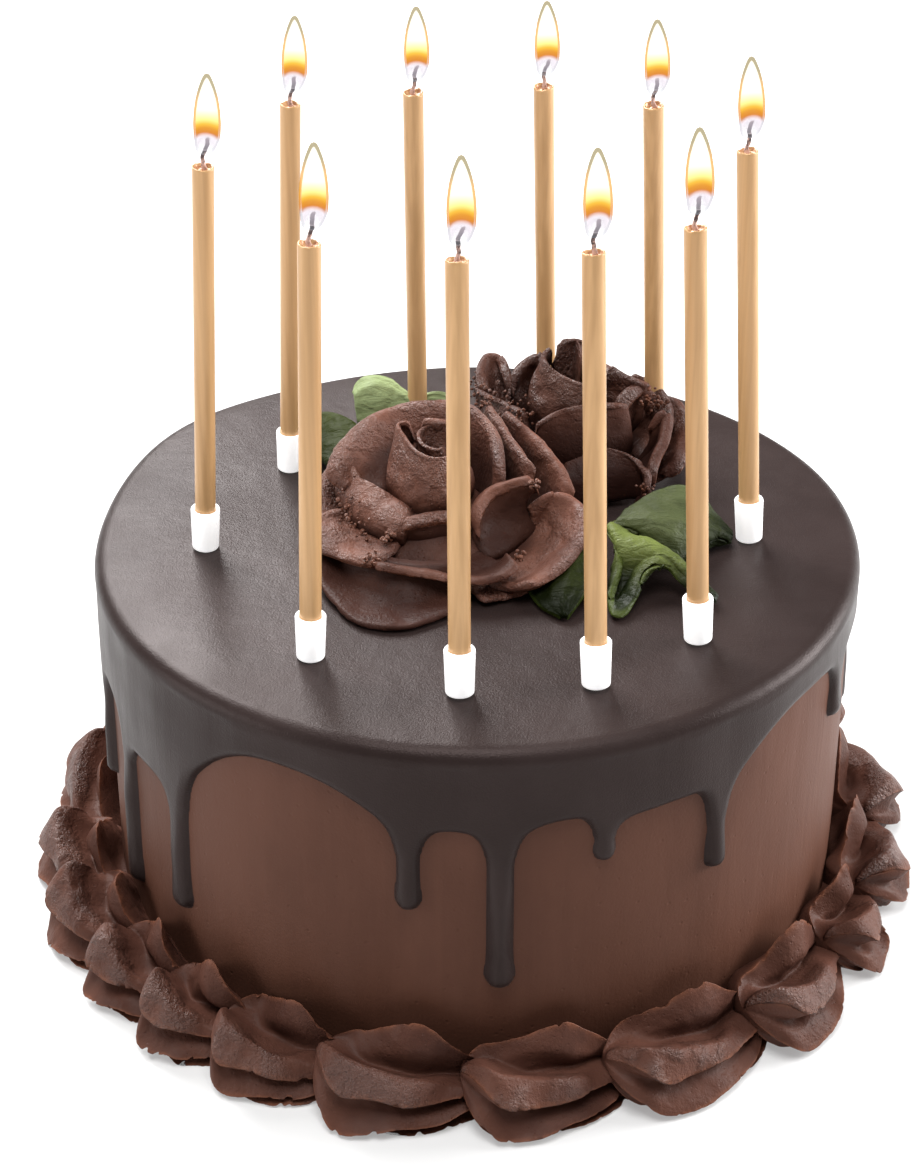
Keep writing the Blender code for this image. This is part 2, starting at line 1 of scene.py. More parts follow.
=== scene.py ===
"""The looks of a lit birthday cake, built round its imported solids.

Each sub-assembly is a class: the smoothed cake, its poured coat, the piped roses, leaves and border,
and the candles with their holders, wicks and flames. Lengths are in metres and angles in degrees,
unless a description says millimetres.
"""

import logging
import math
from dataclasses import dataclass
from enum import Enum
from typing import Callable, TypeVar

import bmesh
import bpy
from mathutils import Matrix, Vector, noise


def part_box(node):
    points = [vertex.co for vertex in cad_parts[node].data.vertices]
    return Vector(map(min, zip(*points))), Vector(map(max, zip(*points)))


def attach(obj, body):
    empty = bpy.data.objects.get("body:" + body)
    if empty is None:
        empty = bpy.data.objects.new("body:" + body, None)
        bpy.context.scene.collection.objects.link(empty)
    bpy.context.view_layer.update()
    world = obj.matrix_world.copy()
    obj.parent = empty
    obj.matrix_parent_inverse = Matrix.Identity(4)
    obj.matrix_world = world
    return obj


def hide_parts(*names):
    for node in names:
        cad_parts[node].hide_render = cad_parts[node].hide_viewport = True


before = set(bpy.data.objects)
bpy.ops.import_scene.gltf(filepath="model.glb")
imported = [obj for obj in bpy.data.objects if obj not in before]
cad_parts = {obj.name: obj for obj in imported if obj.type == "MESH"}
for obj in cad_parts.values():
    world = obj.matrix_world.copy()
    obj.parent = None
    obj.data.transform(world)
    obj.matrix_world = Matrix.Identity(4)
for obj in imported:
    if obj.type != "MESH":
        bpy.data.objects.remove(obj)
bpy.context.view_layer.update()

log = logging.getLogger("cake")

Point = tuple[float, float, float]
Pair = tuple[float, float]
Mesh = bmesh.types.BMesh
Material = bpy.types.Material
Socket = bpy.types.NodeSocket
Warp = Callable[[float, float], tuple[Vector, float, float]]

WELD = 1e-6
MILLI = 1000.0  # millimetres in a metre
UP = Vector((0.0, 0.0, 1.0))
WHITE = (1.0, 1.0, 1.0, 1.0)


# ---------------------------------------------------------------- shading


class Shade(Enum):
    """Number attributes that pieces carry, which finishes read. A low coarse value also marks where piped
    finishes paint shade into the hollows.
    """

    RIM = "rim"
    RISE = "rise"
    COARSE = "coarse"


@dataclass(frozen=True)
class Colour:
    """A linear colour."""

    red: float
    green: float
    blue: float

    def rgba(self) -> tuple[float, float, float, float]:
        """The colour with full alpha."""
        return (self.red, self.green, self.blue, 1.0)


class NodeGraph:
    """A node material, built step by step round its Principled shader."""

    def __init__(self, name: str) -> None:
        """Starts a material of this name."""
        self.material = bpy.data.materials.new(name)
        self.material.use_nodes = True
        self.nodes = self.material.node_tree.nodes
        self.links = self.material.node_tree.links
        self.shader = self.nodes["Principled BSDF"]
        self.place = self.nodes.new("ShaderNodeTexCoord").outputs["Object"]

    def constant(self, socket: str, value: float | tuple[float, ...]) -> None:
        """Sets one of the shader's own sockets."""
        self.shader.inputs[socket].default_value = value

    def feed(self, socket: str, source: Socket) -> None:
        """Links a source into one of the shader's sockets."""
        self.links.new(source, self.shader.inputs[socket])

    def node(self, kind: str, place: Socket | None = None, **values: float | Point) -> bpy.types.Node:
        """A new node of a kind, at some coordinates, with values for its sockets.

        Args:
            kind: The kind's name without its prefix.
            place: What its vector is, if it has one.
            values: Each socket's value, by the socket's name with _ for each space.

        Returns:
            The node.
        """
        node = self.nodes.new("ShaderNode" + kind)
        if place is not None:
            self.links.new(place, node.inputs["Vector"])
        for name, value in values.items():
            node.inputs[name.replace("_", " ")].default_value = value
        return node

    def noise(
        self,
        scale: float,
        detail: float = 3.0,
        roughness: float = 0.55,
        stretch: Point = (1.0, 1.0, 1.0),
        distortion: float = 0.0,
    ) -> Socket:
        """A cloudy pattern from 0 to 1.

        Args:
            scale: Features for each metre.
            detail: Octaves.
            roughness: How strong the finer octaves are.
            stretch: Factor along x, y and z.
            distortion: How far the pattern is swirled.

        Returns:
            The output socket.
        """
        place = self.node("Mapping", self.place, Scale=stretch).outputs["Vector"]
        node = self.node(
            "TexNoise", place, Scale=scale, Detail=detail, Roughness=roughness, Distortion=distortion
        )
        return node.outputs["Fac"]

    def cells(self, scale: float) -> Socket:
        """Distance to the nearest of scattered points, for pits and bubbles."""
        return self.node("TexVoronoi", self.place, Scale=scale).outputs["Distance"]

    def attribute(self, shade: Shade) -> Socket:
        """The value of a number attribute on the piece."""
        node = self.node("Attribute")
        node.attribute_name = shade.value
        return node.outputs["Fac"]

    def span(
        self, source: Socket, low: float = 0.3, high: float = 0.7, start: float = 0.0, end: float = 1.0
    ) -> Socket:
        """A source remapped, smoothly, from low..high to start..end."""
        node = self.node("MapRange", From_Min=low, From_Max=high, To_Min=start, To_Max=end)
        node.interpolation_type = "SMOOTHSTEP"
        self.links.new(source, node.inputs["Value"])
        return node.outputs["Result"]

    def combine(self, operation: str, first: Socket, second: Socket | float) -> Socket:
        """Joins a source and another source or a number by a math operation."""
        node = self.node("Math")
        node.operation = operation
        self.links.new(first, node.inputs[0])
        if isinstance(second, float):
            node.inputs[1].default_value = second
        else:
            self.links.new(second, node.inputs[1])
        return node.outputs["Value"]

    def times(self, first: Socket, second: Socket | float) -> Socket:
        """A source times another source or a number."""
        return self.combine("MULTIPLY", first, second)

    def blend(self, share: Socket, first: Colour | Socket, second: Colour | Socket) -> Socket:
        """A colour between two, by a share from 0 to 1."""
        node = self.node("Mix")
        node.data_type = "RGBA"
        self.links.new(share, node.inputs["Factor"])
        for name, value in (("A", first), ("B", second)):
            socket = next(s for s in node.inputs if s.name == name and s.type == "RGBA")
            if isinstance(value, Colour):
                socket.default_value = value.rgba()
            else:
                self.links.new(value, socket)
        return next(s for s in node.outputs if s.type == "RGBA")

    def ramp(self, source: Socket, stops: tuple[tuple[float, Colour], ...]) -> Socket:
        """Colours along a source, from stops of position and colour."""
        node = self.node("ValToRGB")
        elements = node.color_ramp.elements
        while len(elements) < len(stops):
            elements.new(0.5)
        for element, (position, colour) in zip(elements, stops):
            element.position = position
            element.color = colour.rgba()
        self.links.new(source, node.inputs["Fac"])
        return node.outputs["Color"]

    def relief(
        self, height: Socket, depth: float, strength: float, under: Socket | None = None
    ) -> Socket:
        """Bumps the surface.

        Args:
            height: The pattern, from 0 to 1.
            depth: How deep the pattern's full range is.
            strength: Share of that depth.
            under: The socket of a coarser relief below this one.

        Returns:
            The socket of the bumped normal.
        """
        node = self.node("Bump", Distance=depth, Strength=strength)
        self.links.new(height, node.inputs["Height"])
        if under is not None:
            self.links.new(under, node.inputs["Normal"])
        return node.outputs["Normal"]


@dataclass(frozen=True)
class Relief:
    """A layer of bumps: its features for each metre, its depth, and how much of that depth shows.

    The pattern is a noise, or where pits is given, hollows that end over that span of distance.
    """

    scale: float
    depth: float
    strength: float
    detail: float = 2.0
    roughness: float = 0.55
    stretch: Point = (1.0, 1.0, 1.0)
    distortion: float = 0.0
    pits: Pair | None = None

    def pattern(self, graph: NodeGraph) -> Socket:
        """The layer's height, from 0 to 1."""
        if self.pits:
            return graph.span(graph.cells(self.scale), *self.pits)
        return graph.noise(self.scale, self.detail, self.roughness, self.stretch, self.distortion)


@dataclass(frozen=True)
class Finish:
    """A material: the shader's constants, its layers of bumps, and what a kind of finish paints."""

    name: str
    roughness: float = 0.5
    gloss: float = 0.5
    glow: float = 0.0
    metallic: float = 0.0
    reliefs: tuple[Relief, ...] = ()

    def paint(self, graph: NodeGraph) -> Socket | None:
        """Colours the surface, and returns where the bumps show, if not everywhere."""
        raise NotImplementedError

    def make(self) -> Material:
        """Builds the material."""
        graph = NodeGraph(self.name)
        graph.constant("Roughness", self.roughness)
        graph.constant("Specular IOR Level", self.gloss)
        graph.constant("Metallic", self.metallic)
        graph.constant("Emission Color", WHITE)
        graph.constant("Emission Strength", self.glow)
        mask = self.paint(graph)
        normal = None
        for layer in self.reliefs:
            height = layer.pattern(graph)
            if mask is not None:
                height = graph.times(height, mask)
            normal = graph.relief(height, layer.depth, layer.strength, normal)
        if normal is not None:
            graph.feed("Normal", normal)
        return graph.material


@dataclass(frozen=True)
class GanacheFinish(Finish):
    """Set dark ganache: satin, finely grained, with soft runs down the side."""

    name: str = "dark_ganache"
    gloss: float = 0.135
    reliefs: tuple[Relief, ...] = (
        Relief(130.0, 0.0004, 0.5, stretch=(1.0, 1.0, 0.12)),
        Relief(2200.0, 0.00011, 0.8, roughness=0.6),
    )
    dark: Colour = Colour(0.021, 0.0138, 0.0128)
    light: Colour = Colour(0.029, 0.0198, 0.0186)
    sheen: Colour = Colour(1.0, 0.81, 0.78)
    satin: Pair = (0.32, 0.40)
    clouds: float = 28.0
    patches: float = 45.0

    def paint(self, graph: NodeGraph) -> None:
        """Clouds two dark tones and varies how satin they are."""
        cloud = graph.span(graph.noise(self.clouds))
        graph.feed("Base Color", graph.blend(cloud, self.dark, self.light))
        patch = graph.noise(self.patches, detail=2.0)
        graph.feed("Roughness", graph.span(patch, 0.3, 0.7, *self.satin))
        graph.constant("Specular Tint", self.sheen.rgba())


@dataclass(frozen=True)
class SmoothedFinish(Finish):
    """Buttercream smoothed with a scraper: matt, with faint upright marks and a few pits."""

    name: str = "smoothed_buttercream"
    roughness: float = 0.55
    gloss: float = 0.12
    reliefs: tuple[Relief, ...] = (
        Relief(160.0, 0.0005, 0.35, detail=3.0, stretch=(1.0, 1.0, 0.22), distortion=0.6),
        Relief(260.0, 0.0006, 0.22, pits=(0.02, 0.16)),
        Relief(1300.0, 0.00015, 0.5),
    )
    dark: Colour = Colour(0.081, 0.0325, 0.020)
    light: Colour = Colour(0.105, 0.044, 0.028)
    clouds: float = 22.0
    streaks: float = 230.0
    streak_share: float = 0.2

    def paint(self, graph: NodeGraph) -> None:
        """Clouds and streaks two browns."""
        cloud = graph.noise(self.clouds, detail=4.0, stretch=(1.0, 1.0, 0.6))
        streaks = graph.noise(self.streaks, stretch=(1.0, 1.0, 0.07), distortion=0.3)
        clouded = graph.times(cloud, 1.0 - self.streak_share)
        tone = graph.combine("ADD", clouded, graph.times(streaks, self.streak_share))
        graph.feed("Base Color", graph.blend(graph.span(tone, 0.32, 0.66), self.dark, self.light))


@dataclass(frozen=True)
class PipedFinish(Finish):
    """Piped chocolate buttercream: browner where it thins to a rim, with painted shade darkening its
    hollows.

    It is grainy and pitted in patches. depth is how dark the painted shade in the hollows gets, from 0 to 1,
    and shine and satin are its gloss and roughness outside and inside a patch.
    """

    name: str = "piped_buttercream"
    reliefs: tuple[Relief, ...] = (
        Relief(900.0, 0.0016, 0.9, detail=3.0, roughness=0.65),
        Relief(620.0, 0.0022, 0.45, pits=(0.0, 0.22)),
    )
    dark: Colour = Colour(0.090, 0.037, 0.026)
    light: Colour = Colour(0.168, 0.072, 0.049)
    rim: Colour = Colour(0.170, 0.064, 0.036)
    # The painted shade colour that the hollows are darkened towards.
    hollow: Colour = Colour(0.014, 0.005, 0.004)
    depth: float = 0.80
    shine: Pair = (0.10, 0.37)
    satin: Pair = (0.47, 0.38)
    clouds: float = 55.0
    frays: float = 420.0
    patches: float = 75.0

    def paint(self, graph: NodeGraph) -> Socket:
        """Clouds two browns, darkens hollows with painted shade, frays the rim's tone and returns the
        patches.
        """
        cloud = graph.span(graph.noise(self.clouds, detail=4.0), 0.3, 0.72)
        frayed = graph.span(graph.noise(self.frays, detail=2.0), 0.25, 0.6)
        edge = graph.times(graph.attribute(Shade.RIM), frayed)
        coarse = graph.attribute(Shade.COARSE)
        # Painted shade: where coarse is low, in the hollows, the colour is darkened towards hollow.
        painted_shade = graph.span(coarse, 0.0, 0.6, self.depth, 0.0)
        body = graph.blend(painted_shade, graph.blend(cloud, self.dark, self.light), self.hollow)
        graph.feed("Base Color", graph.blend(edge, body, self.rim))
        patch = graph.span(graph.noise(self.patches, detail=2.0), 0.36, 0.60, 0.30, 1.0)
        patch = graph.times(patch, graph.span(coarse, 0.0, 1.0, 0.25, 1.0))
        graph.feed("Specular IOR Level", graph.span(patch, 0.2, 1.0, *self.shine))
        graph.feed("Roughness", graph.span(patch, 0.2, 1.0, *self.satin))
        return patch


@dataclass(frozen=True)
class LeafFinish(Finish):
    """Green icing with painted light that pales and greys its high parts and painted shade that darkens its
    low parts, with fine lines along each leaf.
    """

    roughness: float = 0.52
    gloss: float = 0.09
    reliefs: tuple[Relief, ...] = (
        Relief(420.0, 0.0017, 0.6, detail=3.0, stretch=(0.35, 1.0, 1.0), distortion=0.8),
        Relief(1400.0, 0.0003, 0.5),
    )
    # Low parts get the darker green as painted shade, high parts the pale one as painted light.
    shaded_green: Colour = Colour(0.030, 0.040, 0.012)
    pale: Colour = Colour(0.215, 0.265, 0.125)
    edge: Colour = Colour(0.140, 0.180, 0.060)
    clouds: float = 70.0

    def paint(self, graph: NodeGraph) -> None:
        """Paints light on the high parts and shade on the low ones, and tones the edge."""
        cloud = graph.span(graph.noise(self.clouds), 0.25, 0.75, 0.6, 1.2)
        lit = graph.times(graph.attribute(Shade.RISE), cloud)
        edge = graph.span(graph.attribute(Shade.COARSE), 0.0, 0.9, 0.5, 0.0)
        graph.feed("Base Color", graph.blend(edge, graph.blend(lit, self.shaded_green, self.pale), self.edge))


class LeafTone(Enum):
    """The greens of the leaves: partly their own hues, and partly painted light and shade: the pale tone is
    lighter for leaves in light, the grey and deep tones darker for leaves in shade.
    """

    PALE_LIT = LeafFinish("pale_lit_leaf_icing")
    GREY_SHADED = LeafFinish(
        "grey_shaded_leaf_icing",
        shaded_green=Colour(0.009, 0.013, 0.003),
        pale=Colour(0.058, 0.070, 0.028),
        edge=Colour(0.036, 0.058, 0.010),
    )
    DEEP_SHADED = LeafFinish(
        "deep_shaded_leaf_icing",
        gloss=0.05,
        shaded_green=Colour(0.004, 0.006, 0.001),
        pale=Colour(0.034, 0.043, 0.008),
        edge=Colour(0.040, 0.058, 0.008),
    )
    FRESH = LeafFinish(
        "fresh_leaf_icing",
        roughness=0.45,
        gloss=0.15,
        shaded_green=Colour(0.007, 0.011, 0.002),
        pale=Colour(0.108, 0.134, 0.033),
        edge=Colour(0.080, 0.110, 0.018),
    )


@dataclass(frozen=True)
class WaxFinish(Finish):
    """Pearly gold candle wax, coppery in the rough well round the wick, with a faint glow of painted light.
    """

    name: str = "pearly_gold_wax"
    roughness: float = 0.36
    # Painted light: the wax glows a little in its own colour.
    glow: float = 0.28
    metallic: float = 0.12
    reliefs: tuple[Relief, ...] = (Relief(900.0, 0.0001, 0.4),)
    wax: Colour = Colour(0.490, 0.292, 0.136)
    streak: Colour = Colour(0.400, 0.230, 0.100)
    copper: Colour = Colour(0.330, 0.115, 0.060)
    streaks: float = 520.0
    crumbs: float = 1100.0

    def paint(self, graph: NodeGraph) -> None:
        """Streaks the side, crumbs the well and lets both glow a little as painted light."""
        streaks = graph.noise(self.streaks, detail=2.0, stretch=(1.0, 1.0, 0.02))
        body = graph.blend(graph.span(streaks), self.wax, self.streak)
        crumbs = graph.span(graph.noise(self.crumbs, detail=2.0), 0.4, 0.6)
        well = graph.blend(crumbs, self.copper, self.wax)
        colour = graph.blend(graph.attribute(Shade.RIM), body, well)
        graph.feed("Base Color", colour)
        graph.feed("Emission Color", colour)


@dataclass(frozen=True)
class HolderFinish(Finish):
    """Smooth white moulded plastic, glowing a little as painted light."""

    name: str = "white_moulded_plastic"
    roughness: float = 0.33
    # Painted light: the plastic glows a little.
    glow: float = 0.60
    reliefs: tuple[Relief, ...] = (Relief(1600.0, 0.00005, 0.4, detail=1.0),)
    white: Colour = Colour(0.860, 0.850, 0.850)
    shadow: Colour = Colour(0.800, 0.790, 0.795)
    clouds: float = 300.0

    def paint(self, graph: NodeGraph) -> None:
        """Clouds two whites."""
        cloud = graph.noise(self.clouds, detail=1.0)
        graph.feed("Base Color", graph.blend(cloud, self.white, self.shadow))


@dataclass(frozen=True)
class WickFinish(Finish):
    """Twisted cotton, pink with wax at its foot and charred toward its tip."""

    name: str = "cotton_wick"
    roughness: float = 0.8
    reliefs: tuple[Relief, ...] = (Relief(2200.0, 0.0003, 0.7, stretch=(1.0, 1.0, 0.5)),)
    waxed: Colour = Colour(0.620, 0.420, 0.360)
    charred: Colour = Colour(0.090, 0.060, 0.062)
    mottles: float = 1400.0

    def paint(self, graph: NodeGraph) -> None:
        """Chars the cotton toward its tip."""
        mottle = graph.span(graph.noise(self.mottles, detail=2.0), 0.3, 0.7, -0.25, 0.25)
        burnt = graph.span(graph.combine("ADD", graph.attribute(Shade.RISE), mottle), 0.15, 0.6)
        graph.feed("Base Color", graph.blend(burnt, self.waxed, self.charred))


class FlameTone(Enum):
    """The colours of a flame."""

    HAZE = Colour(1.80, 1.60, 1.70)
    SLATE = Colour(0.28, 0.32, 0.36)
    MIST = Colour(0.42, 0.39, 0.46)
    ORANGE = Colour(0.78, 0.27, 0.04)
    AMBER = Colour(0.92, 0.42, 0.04)
    GOLDEN = Colour(1.40, 1.10, 0.16)
    YELLOW = Colour(2.60, 2.60, 1.20)
    WHITE = Colour(3.20, 3.15, 2.90)
    OLIVE = Colour(0.38, 0.30, 0.11)


@dataclass(frozen=True)
class GlowFinish(Finish):
    """Part of a flame: glowing, coloured from its foot to its tip, and as clear as its stops say.

    The stops run along the piece's own rise, from 0 at the foot to 1 at the tip. Each stop of
    opacity is a position and the opacity there.
    """

    roughness: float = 1.0
    gloss: float = 0.0
    glow: float = 1.0
    colours: tuple[tuple[float, FlameTone], ...] = ()
    opacity: tuple[Pair, ...] = ()

    def paint(self, graph: NodeGraph) -> None:
        """Runs the colours and the opacity up the flame."""
        rise = graph.attribute(Shade.RISE)
        stops = tuple((position, tone.value) for position, tone in self.colours)
        greys = tuple((position, Colour(value, value, value)) for position, value in self.opacity)
        graph.constant("Base Color", (0.0, 0.0, 0.0, 1.0))
        graph.feed("Emission Color", graph.ramp(rise, stops))
        graph.feed("Alpha", graph.ramp(rise, greys))


FLAME_HEART = GlowFinish(
    "flame_heart",
    colours=(
        (0.0, FlameTone.HAZE), (0.19, FlameTone.HAZE), (0.245, FlameTone.ORANGE),
        (0.31, FlameTone.AMBER), (0.37, FlameTone.GOLDEN), (0.45, FlameTone.YELLOW),
        (0.57, FlameTone.WHITE), (1.0, FlameTone.WHITE),
    ),
    opacity=((0.0, 0.12), (0.12, 0.22), (0.20, 0.62), (0.25, 0.97), (1.0, 1.0)),
)
FLAME_SKIN = GlowFinish(
    "flame_skin",
    colours=(
        (0.0, FlameTone.SLATE), (0.13, FlameTone.MIST), (0.21, FlameTone.MIST),
        (0.28, FlameTone.ORANGE), (0.42, FlameTone.AMBER), (0.60, FlameTone.AMBER),
        (0.80, FlameTone.OLIVE),
    ),
    opacity=((0.0, 0.26), (0.08, 0.46), (0.21, 0.52), (0.28, 0.70), (0.60, 0.66), (0.85, 0.66)),
)


@dataclass(frozen=True)
class FloorFinish(Finish):
    """A plain pale matt sweep of paper."""

    name: str = "pale_paper"
    roughness: float = 0.9
    gloss: float = 0.1
    glow: float = 0.32
    white: Colour = Colour(0.520, 0.518, 0.515)

    def paint(self, graph: NodeGraph) -> None:
        """One plain tone."""
        graph.constant("Base Color", self.white.rgba())


class Finishes:
    """Every finish, made once and shared by the pieces."""

    def __init__(self) -> None:
        """Makes all the materials."""
        self.ganache = GanacheFinish().make()
        self.smoothed = SmoothedFinish().make()
        self.piped = PipedFinish().make()
        # The back rose's and the border's copies are darker than the front rose's, as painted shade; the
        # border's paints less shade into its hollows.
        self.piped_behind_shaded = PipedFinish(
            "shaded_back_rose_buttercream",
            dark=Colour(0.056, 0.022, 0.016),
            light=Colour(0.094, 0.040, 0.028),
        ).make()
        self.border = PipedFinish(
            "shaded_border_buttercream",
            dark=Colour(0.072, 0.029, 0.020),
            light=Colour(0.114, 0.048, 0.033),
            depth=0.16,
        ).make()
        self.leaves = {tone: tone.value.make() for tone in LeafTone}
        self.wax = WaxFinish().make()
        self.holder = HolderFinish().make()
        self.wick = WickFinish().make()
        self.floor = FloorFinish().make()
        self.flame_heart = FLAME_HEART.make()
        self.flame_skin = FLAME_SKIN.make()


# ---------------------------------------------------------------- numbers and places


Amount = TypeVar("Amount", float, Vector)


def clamp(value: float) -> float:
    """A value held between 0 and 1."""
    return min(1.0, max(0.0, value))


def smooth(value: float, start: float = 0.0, run: float = 1.0) -> float:
    """An eased step from 0 to 1, from a start and over a run of the value."""
    share = clamp((value - start) / run)
    return share * share * (3.0 - 2.0 * share)


def rounded(share: float) -> float:
    """Height of a quarter circle, from 0 at its edge to 1, at a share of the way in."""
    return math.sqrt(max(0.0, 1.0 - (1.0 - min(1.0, share)) ** 2))


def turned(angle: float) -> float:
    """An angle brought between -180 and 180."""
    return (angle + 180.0) % 360.0 - 180.0


def bearing(place: Vector) -> float:
    """The angle round Z of a place."""
    return math.degrees(math.atan2(place.y, place.x))


def polar(angle: float, reach: float = 1.0, height: float = 0.0) -> Vector:
    """The point at an angle round Z, a reach from it and a height."""
    turn = math.radians(angle)
    return Vector((reach * math.cos(turn), reach * math.sin(turn), height))


def eased(first: Amount, last: Amount, out_slope: Amount, in_slope: Amount, share: float) -> Amount:
    """A cubic between two values or points, with a slope at each end."""
    square, cube = share * share, share * share * share
    return (
        first * (2.0 * cube - 3.0 * square + 1.0)
        + out_slope * (cube - 2.0 * square + share)
        + last * (3.0 * square - 2.0 * cube)
        + in_slope * (cube - square)
    )


def wobble(place: Vector, size: float, seed: float = 0.0) -> float:
    """Cloudy noise of about -1 to 1, with features of a given size."""
    return noise.noise(place / size + Vector((seed, 0.37 * seed, 1.7 * seed)))


def part_of_box(node: str, share: Pair) -> Vector:
    """A point at a share of a solid's box in x and y, at its foot."""
    low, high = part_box(node)
    return Vector(
        (low.x + share[0] * (high.x - low.x), low.y + share[1] * (high.y - low.y), low.z)
    )


def corners_of(node: str) -> list[Vector]:
    """Every point of a solid."""
    return [corner.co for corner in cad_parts[node].data.vertices]


# ---------------------------------------------------------------- making meshes


def joined(base: Mesh, other: Mesh) -> None:
    """Adds one mesh to another, and frees the other."""
    mesh = bpy.data.meshes.new("joining")
    other.to_mesh(mesh)
    other.free()
    base.from_mesh(mesh)
    bpy.data.meshes.remove(mesh)


def closed_sheet(around: int, along: int, warp: Warp, first: Shade = Shade.RIM) -> Mesh:
    """A closed skin: a grid whose points a warp sends to their places, welded where they meet.

    Args:
        around: Faces along the first way, u from -1 to 1.
        along: Faces along the second way, v from -1 to 1.
        warp: Sends (u, v) to a place, to the value of the first attribute and to how coarse it is there.
        first: The attribute that the warp's second value is kept in.

    Returns:
        The welded mesh, with its faces outward.
    """
    shape = bmesh.new()
    layer = shape.verts.layers.float.new(first.value)
    coarse = shape.verts.layers.float.new(Shade.COARSE.value)
    bmesh.ops.create_grid(shape, x_segments=around, y_segments=along, size=1.0)
    for corner in shape.verts:
        corner.co, corner[layer], corner[coarse] = warp(corner.co.x, corner.co.y)
    bmesh.ops.remove_doubles(shape, verts=shape.verts, dist=WELD)
    bmesh.ops.dissolve_degenerate(shape, edges=shape.edges, dist=WELD)
    bmesh.ops.recalc_face_normals(shape, faces=shape.faces)
    return shape


def spun(profile: list[Pair], steps: int, unit: float = 1.0) -> Mesh:
    """A closed body spun about Z from a profile whose ends lie on the axis.

    Args:
        profile: Points of (radius, height), from one end on the axis to the other.
        steps: Faces round the body.
        unit: How many of the profile's units make a metre.

    Returns:
        The welded mesh, with its faces outward.
    """
    shape = bmesh.new()
    corners = [shape.verts.new((radius / unit, 0.0, height / unit)) for radius, height in profile]
    edges = [shape.edges.new(pair) for pair in zip(corners, corners[1:])]
    bmesh.ops.spin(
        shape,
        geom=corners + edges,
        axis=UP,
        cent=(0.0, 0.0, 0.0),
        angle=2.0 * math.pi,
        steps=steps,
        use_merge=True,
    )
    bmesh.ops.remove_doubles(shape, verts=shape.verts, dist=WELD)
    bmesh.ops.recalc_face_normals(shape, faces=shape.faces)
    return shape


def arc(centre: Pair, radius: float, start: float, end: float, steps: int) -> list[Pair]:
    """Points of a profile along an arc.

    Args:
        centre: Its (radius, height).
        radius: The arc's own radius.
        start: First angle, from outward toward up.
        end: Last angle.
        steps: Stretches along it.

    Returns:
        The points of (radius, height), both ends included.
    """
    turns = (math.radians(start + (end - start) * step / steps) for step in range(steps + 1))
    return [(centre[0] + radius * math.cos(turn), centre[1] + radius * math.sin(turn)) for turn in turns]


def placed(name: str, data: bpy.types.ID) -> bpy.types.Object:
    """A new object in the scene."""
    thing = bpy.data.objects.new(name, data)
    bpy.context.scene.collection.objects.link(thing)
    return thing


def meshed(name: str, shape: Mesh, finish: Material) -> bpy.types.Object:
    """A new object of one material, from a mesh that is freed."""
    mesh = bpy.data.meshes.new(name)
    shape.to_mesh(mesh)
    shape.free()
    mesh.materials.append(finish)
    return placed(name, mesh)


def piece(name: str, shape: Mesh, finish: Material, slot: str, *nodes: str) -> None:
    """Turns a mesh into a finished piece that rides on the cake.

    Args:
        name: The piece's name.
        shape: Its mesh, in place.
        finish: Its material.
        slot: The record's material slot; not used.
        nodes: The solids that it stands for.
    """
    thing = meshed(name, shape, finish)
    thing.data.shade_smooth()
    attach(thing, "root")
    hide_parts(*nodes)
    log.info("%s: %d faces", name, len(thing.data.polygons))


# ---------------------------------------------------------------- curves and lofts


class Curve:
    """A smooth curve through points, run through at an even pace."""

    def __init__(self, points: list[Vector]) -> None:
        """Keeps the points, the curve's length and how far along it each point lies."""
        self.points = points
        reached = [0.0]
        for first, last in zip(points, points[1:]):
            reached.append(reached[-1] + (last - first).length)
        self.length = reached[-1]
        self.stations = [length / self.length for length in reached]

    def slope(self, index: int) -> Vector:
        """The curve's slope at one of its points."""
        low, high = max(index - 1, 0), min(index + 1, len(self.points) - 1)
        return (self.points[high] - self.points[low]) / (self.stations[high] - self.stations[low])

    def at(self, share: float) -> Vector:
        """The point at a share of the curve's length."""
        last = len(self.points) - 2
        index = next((i for i in range(last) if share < self.stations[i + 1]), last)
        gap = self.stations[index + 1] - self.stations[index]
        return eased(
            self.points[index],
            self.points[index + 1],
            self.slope(index) * gap,
            self.slope(index + 1) * gap,
            (share - self.stations[index]) / gap,
        )


@dataclass(frozen=True)
class Spot:
    """A point of a closed sheet, before it is warped.

    along runs from -1 to 1 down the sheet's length, across from 0 to 1 over its width, and side is 1 or
    -1. middle and normal belong to the sheet's middle surface there, and foot is its first edge.
    """

    along: float
    across: float
    side: float
    middle: Vector
    normal: Vector
    foot: Vector


